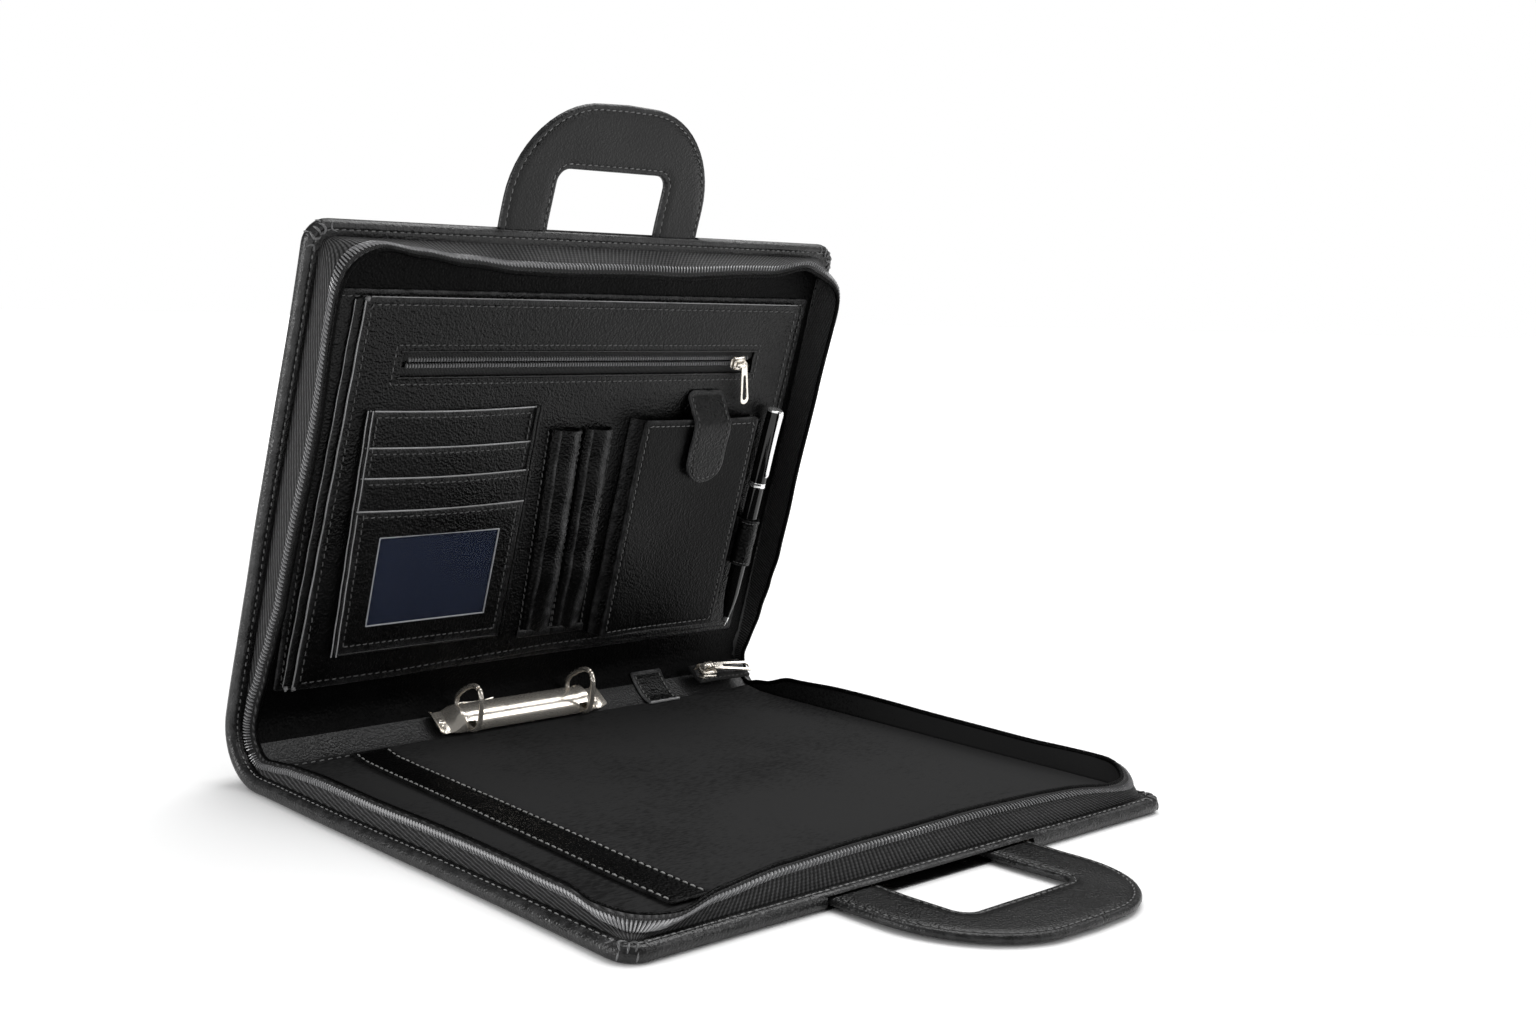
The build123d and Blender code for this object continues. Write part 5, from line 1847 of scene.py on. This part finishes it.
# ---------------------------------------------------------------- zip sliders
def add_slider(name, place, half_x, half_w, low, high, top, material):
    """A cast slider: two shoes on a wedge, flanges that hold the teeth, and a crowned bail."""
    build = Build(place)
    thick = (high - low) * 0.30
    for a, b in ((low, low + thick), (high - thick, high)):
        grow = 0.0 if a == low else -0.25
        rim = [(1.3, b, 0), (0.5, b - 0.12 * thick, 0), (0.1, b - 0.4 * thick, 0), (0.0, b - 0.7 * thick, 0),
               (0.3, a, 0), (1.3, a, 0)]
        add_plate(build, (-half_x - grow, half_x + grow), (-half_w - grow, half_w + grow), rim,
                  corner=half_w * 0.75, x_step=1.5, w_step=1.2)
    for side in (-1, 1):
        rows = []
        for k in range(13):
            x = -half_x * 0.75 + 1.5 * half_x * k / 12
            lip = half_w * (0.98 - 0.10 * math.cos(math.pi * k / 12))
            rows.append([build.raw(place(x, side * (lip - d), n), (x * MM, n * MM, 0)) for d, n in
                         ((0.9, low + thick * 0.4), (0.0, low + thick * 0.5), (-0.1, low + thick * 1.7),
                          (0.45, low + thick * 2.0), (0.9, low + thick * 1.7))][::side])
        strip(build, rows, closed=True, caps=True)
    rows = []
    for k in range(7):
        n = low + thick * 0.5 + (high - low - thick) * k / 6
        rows.append([build.raw(place(x, w, n), (x * MM, n * MM, 0))
                     for x, w in ((half_x * 0.15, 0), (half_x * 0.6, half_w * 0.42), (half_x * 0.92, 0),
                                  (half_x * 0.6, -half_w * 0.42))])
    strip(build, rows, closed=True, caps=True)
    knots = [(-half_x * 0.72, high - 0.3), (-half_x * 0.74, high + (top - high) * 0.5),
             (-half_x * 0.45, top - 0.55), (0.0, top - 0.35),
             (half_x * 0.42, top - 0.6), (half_x * 0.66, high + (top - high) * 0.45),
             (half_x * 0.62, high - 0.3)]
    rows = []
    for i, (x, n) in enumerate(smooth_points(knots, 0.5)):
        wide = half_w * (0.30 + 0.16 * math.sin(i * 0.9) ** 2)
        rows.append([build.raw(place(x, w * wide, n + u), (x * MM, n * MM, 0))
                     for w, u in ((-1, -0.15), (-0.7, 0.3), (0.7, 0.3), (1, -0.15), (0.7, -0.38),
                                  (-0.7, -0.38))])
    strip(build, rows, closed=True, caps=True)
    return build.make(name, [material], 45)


def add_puller(name, place, half, span, low, high, turn, material):
    """A flat puller with an eye round the bail, a waist and a long slot."""
    build = Build(place)
    ux, uw = math.cos(turn), math.sin(turn)
    outer, inner = [], []
    count = 60
    for k in range(count):
        if k < count / 2:
            a = math.pi * k / (count / 2) - math.pi / 2
            along = span + half * math.cos(a)
            outer.append((along, half * math.sin(a)))
            inner.append((span - 1.2 + half * 0.48 * math.cos(a), half * 0.46 * math.sin(a)))
        else:
            a = math.pi * (k - count / 2) / (count / 2) + math.pi / 2
            outer.append((half * 0.72 * math.cos(a), half * 0.62 * math.sin(a)))
            inner.append((span * 0.36 + half * 0.36 * math.cos(a), half * 0.30 * math.sin(a)))
    # long sides between the two rounded ends
    def fill(line):
        out = []
        for a, b in zip(line, line[1:] + line[:1]):
            size = math.dist(a, b)
            steps = max(1, int(size / 1.2))
            out += [(a[0] + (b[0] - a[0]) * m / steps, a[1] + (b[1] - a[1]) * m / steps)
                    for m in range(steps)]
        return out

    def even(line, total=140):
        line = fill(line)
        runs = [0.0]
        closed = line + [line[0]]
        for a, b in zip(closed, closed[1:]):
            runs.append(runs[-1] + math.dist(a, b))
        out, k = [], 0
        for i in range(total):
            s = runs[-1] * i / total
            while runs[k + 1] < s:
                k += 1
            part = (s - runs[k]) / (runs[k + 1] - runs[k])
            out.append(tuple(p + (q - p) * part for p, q in zip(closed[k], closed[k + 1])))
        return out

    outer, inner = even(outer), even(inner)
    rows = []
    edge = (high - low) * 0.28
    for (ox, ow), (ix, iw) in zip(outer, inner):
        reach = math.dist((ox, ow), (ix, iw))
        dx, dw = (ix - ox) / reach, (iw - ow) / reach
        ring = []
        for d, n in ((0.0, low + edge), (0.0, high - edge), (edge, high), (reach - edge, high),
                     (reach, high - edge), (reach, low + edge), (reach - edge, low), (edge, low)):
            a, b = ox + dx * d, ow + dw * d
            ring.append(build.raw(place(a * ux - b * uw, a * uw + b * ux, n), (a * MM, b * MM, 0)))
        rows.append(ring)
    rows.append(rows[0])
    strip(build, rows, closed=True)
    return build.make(name, [material], 40)


def add_zip_parts():
    low, high = lid_extent("pocket_zip_slider")
    cx, ct = (low[0] + high[0]) / 2 + 1.4, (low[1] + high[1]) / 2
    slider = add_slider("pocket_slider", lambda x, w, n: on_lid(cx + x, ct + w, n), (high[0] - low[0]) / 2,
                        (high[1] - low[1]) / 2, low[2] - 0.05, low[2] + 3.4, high[2] + 0.3, NICKEL)
    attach(slider, "pocket_zip_slider")
    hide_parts("pocket_zip_slider")
    low, high = lid_extent("pocket_zip_puller")
    half = 3.1
    px, pt = low[0] + half + 1.2, high[1] - half
    far = math.dist((px, pt), (high[0] - half, low[1] + half))
    turn = math.atan2(low[1] + half - pt, high[0] - half - px)
    puller = add_puller("pocket_puller", lambda x, w, n: on_lid(px + x, pt + w, n), half, far, low[2],
                        high[2], turn, NICKEL)
    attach(puller, "pocket_zip_puller")
    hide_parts("pocket_zip_puller")
    low, high = back_extent("case_zip_slider")
    cx, cs = (low[0] + high[0]) / 2, (low[1] + high[1]) / 2
    slider = add_slider("case_slider", lambda x, w, n: on_back(cx + x, cs + w, n), (high[0] - low[0]) / 2,
                        (high[1] - low[1]) / 2, low[2] - 0.6, low[2] + 4.2, high[2], NICKEL)
    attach(slider, "spine")
    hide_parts("case_zip_slider")
    low, high = back_extent("case_zip_puller")
    half = 3.8
    px, ps = low[0] + half, high[1] - half
    far = math.dist((px, ps), (high[0] - half, low[1] + half))
    turn = math.atan2(low[1] + half - ps, high[0] - half - px)
    puller = add_puller("case_puller", lambda x, w, n: on_back(px + x, ps + w, n), half, far, low[2], high[2],
                        turn, NICKEL)
    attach(puller, "case_zip_puller")
    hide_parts("case_zip_puller")

    low, high = back_extent("zip_tail")

    def place(x, s, n):
        """The tail waves a little, and lies flat at its right end."""
        return on_back(x, s, n + 0.5 * math.sin((x - low[0]) * 0.12) * min(1, (high[0] - x) / 12))

    build, teeth, thread = Build(place), Build(place), Build(place)
    add_plate(build, (low[0], high[0]), (low[1], high[1]),
              [(1.0, high[2], 0), (0.3, high[2] - 0.2, 0.4), (0.0, (low[2] + high[2]) / 2, 0),
               (1.0, low[2], 0)], corner=2.0, x_step=3, w_step=2)
    middle = (low[1] + high[1]) / 2
    x = low[0] + 2
    while x < high[0] - 3:
        for side in (-1, 1):
            cx = x + (0.75 if side > 0 else 0)
            rows = []
            for out, long, top in ((0.1, 0.5, 0.7), (0.6, 1.0, 1.3), (2.0, 1.0, 1.3), (2.6, 0.5, 0.5)):
                ring = [teeth.raw(place(cx + dx * 0.46 * long, middle + side * out, high[2] + u),
                                  (cx * MM, out * MM, 0))
                        for dx, u in ((-1, -0.1), (-0.7, top), (0.7, top), (1, -0.1))]
                rows.append(ring if side > 0 else ring[::-1])
            strip(teeth, rows, closed=True, caps=True)
        x += 1.5
    for s in (low[1] + 1.6, high[1] - 1.6):
        stitch_line(thread, [(low[0] + 1, s), (high[0] - 1, s)], high[2] + 0.02, pitch=3.6, size=2.6)
    made = [build.make("zip_tail_tape", [TAPE], 50), teeth.make("zip_tail_teeth", [COIL], 30),
            thread.make("zip_tail_stitching", [THREAD])]
    for piece in made:
        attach(piece, "spine")
    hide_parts("zip_tail")


# ---------------------------------------------------------------- keeper tab
def add_tab():
    low, high = back_extent("keeper_tab")
    middle, half = (low[0] + high[0]) / 2, (high[0] - low[0]) / 2
    knots = [(43.5, 0.1), (41.0, -0.9), (37.0, -2.0), (31.0, -2.95), (26.0, -3.0), (22.4, -2.2), (19.6, -0.8)]
    track = Track(smooth_points(knots, 0.8)).finish()
    total = track.length[-1]

    def place(x, d, n):
        (s, m), (ns, nm) = track.at(max(0.0, min(total - 0.001, d)))
        past = max(0.0, d - total + 0.001)
        return on_back(middle + x, s - past * nm - ns * n, m + past * ns - nm * n)

    build, thread = Build(place), Build(place)
    rim = [(4.6, 0.72, 0), (3.3, 0.74, 0), (2.7, 0.5, 0), (2.1, 0.76, 0.2), (0.9, 0.7, 0.6), (0.2, 0.35, 1.0),
           (0.0, 0.0, 0.7), (0.2, -0.45, 0.3), (0.8, -0.7, 0), (4.6, -0.72, 0)]
    add_plate(build, (-half, half), (0.0, total), rim, corner=1.4, x_step=3, w_step=1.5)
    # a pale tube along the tab's raised free end, a painted highlight
    points = [place(-half + 0.8 + (2 * half - 1.6) * k / 20, total - 0.9, 0.35 + 0.12 * math.sin(k))
              for k in range(21)]
    tube(build, points, 0.85, sides=10, slot=1)
    piece = build.make("keeper_tab_leather", [TAB, PAINTED_HIGHLIGHT_LEATHER], 50)
    for x in (-half + 2.7, half - 2.7):
        stitch_line(thread, [(x, 1.5), (x, total - 2.4)], 0.7, pitch=3.2, size=2.3, thick=0.36)
    # the tab's stitches take the palest copy of the thread, a painted highlight
    threads = thread.make("keeper_tab_stitching", [THREAD_PAINTED_HIGHLIGHT])
    for made in (piece, threads):
        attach(made, "keeper_tab")
    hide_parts("keeper_tab")


add_shells()
add_corner_folds()
add_gussets()
add_linings()
for cover in ("base", "lid"):
    add_handle(cover)
add_base_pocket()
add_panel()
add_cards()
add_sleeves()
add_phone_pocket()
add_pen()
add_rings()
add_zip_parts()
add_tab()
for name, obj in frame["nodes"].items():
    if name.endswith(("core_board", "inner_board")):
        obj.data.materials.clear()
        obj.data.materials.append(BOARD)
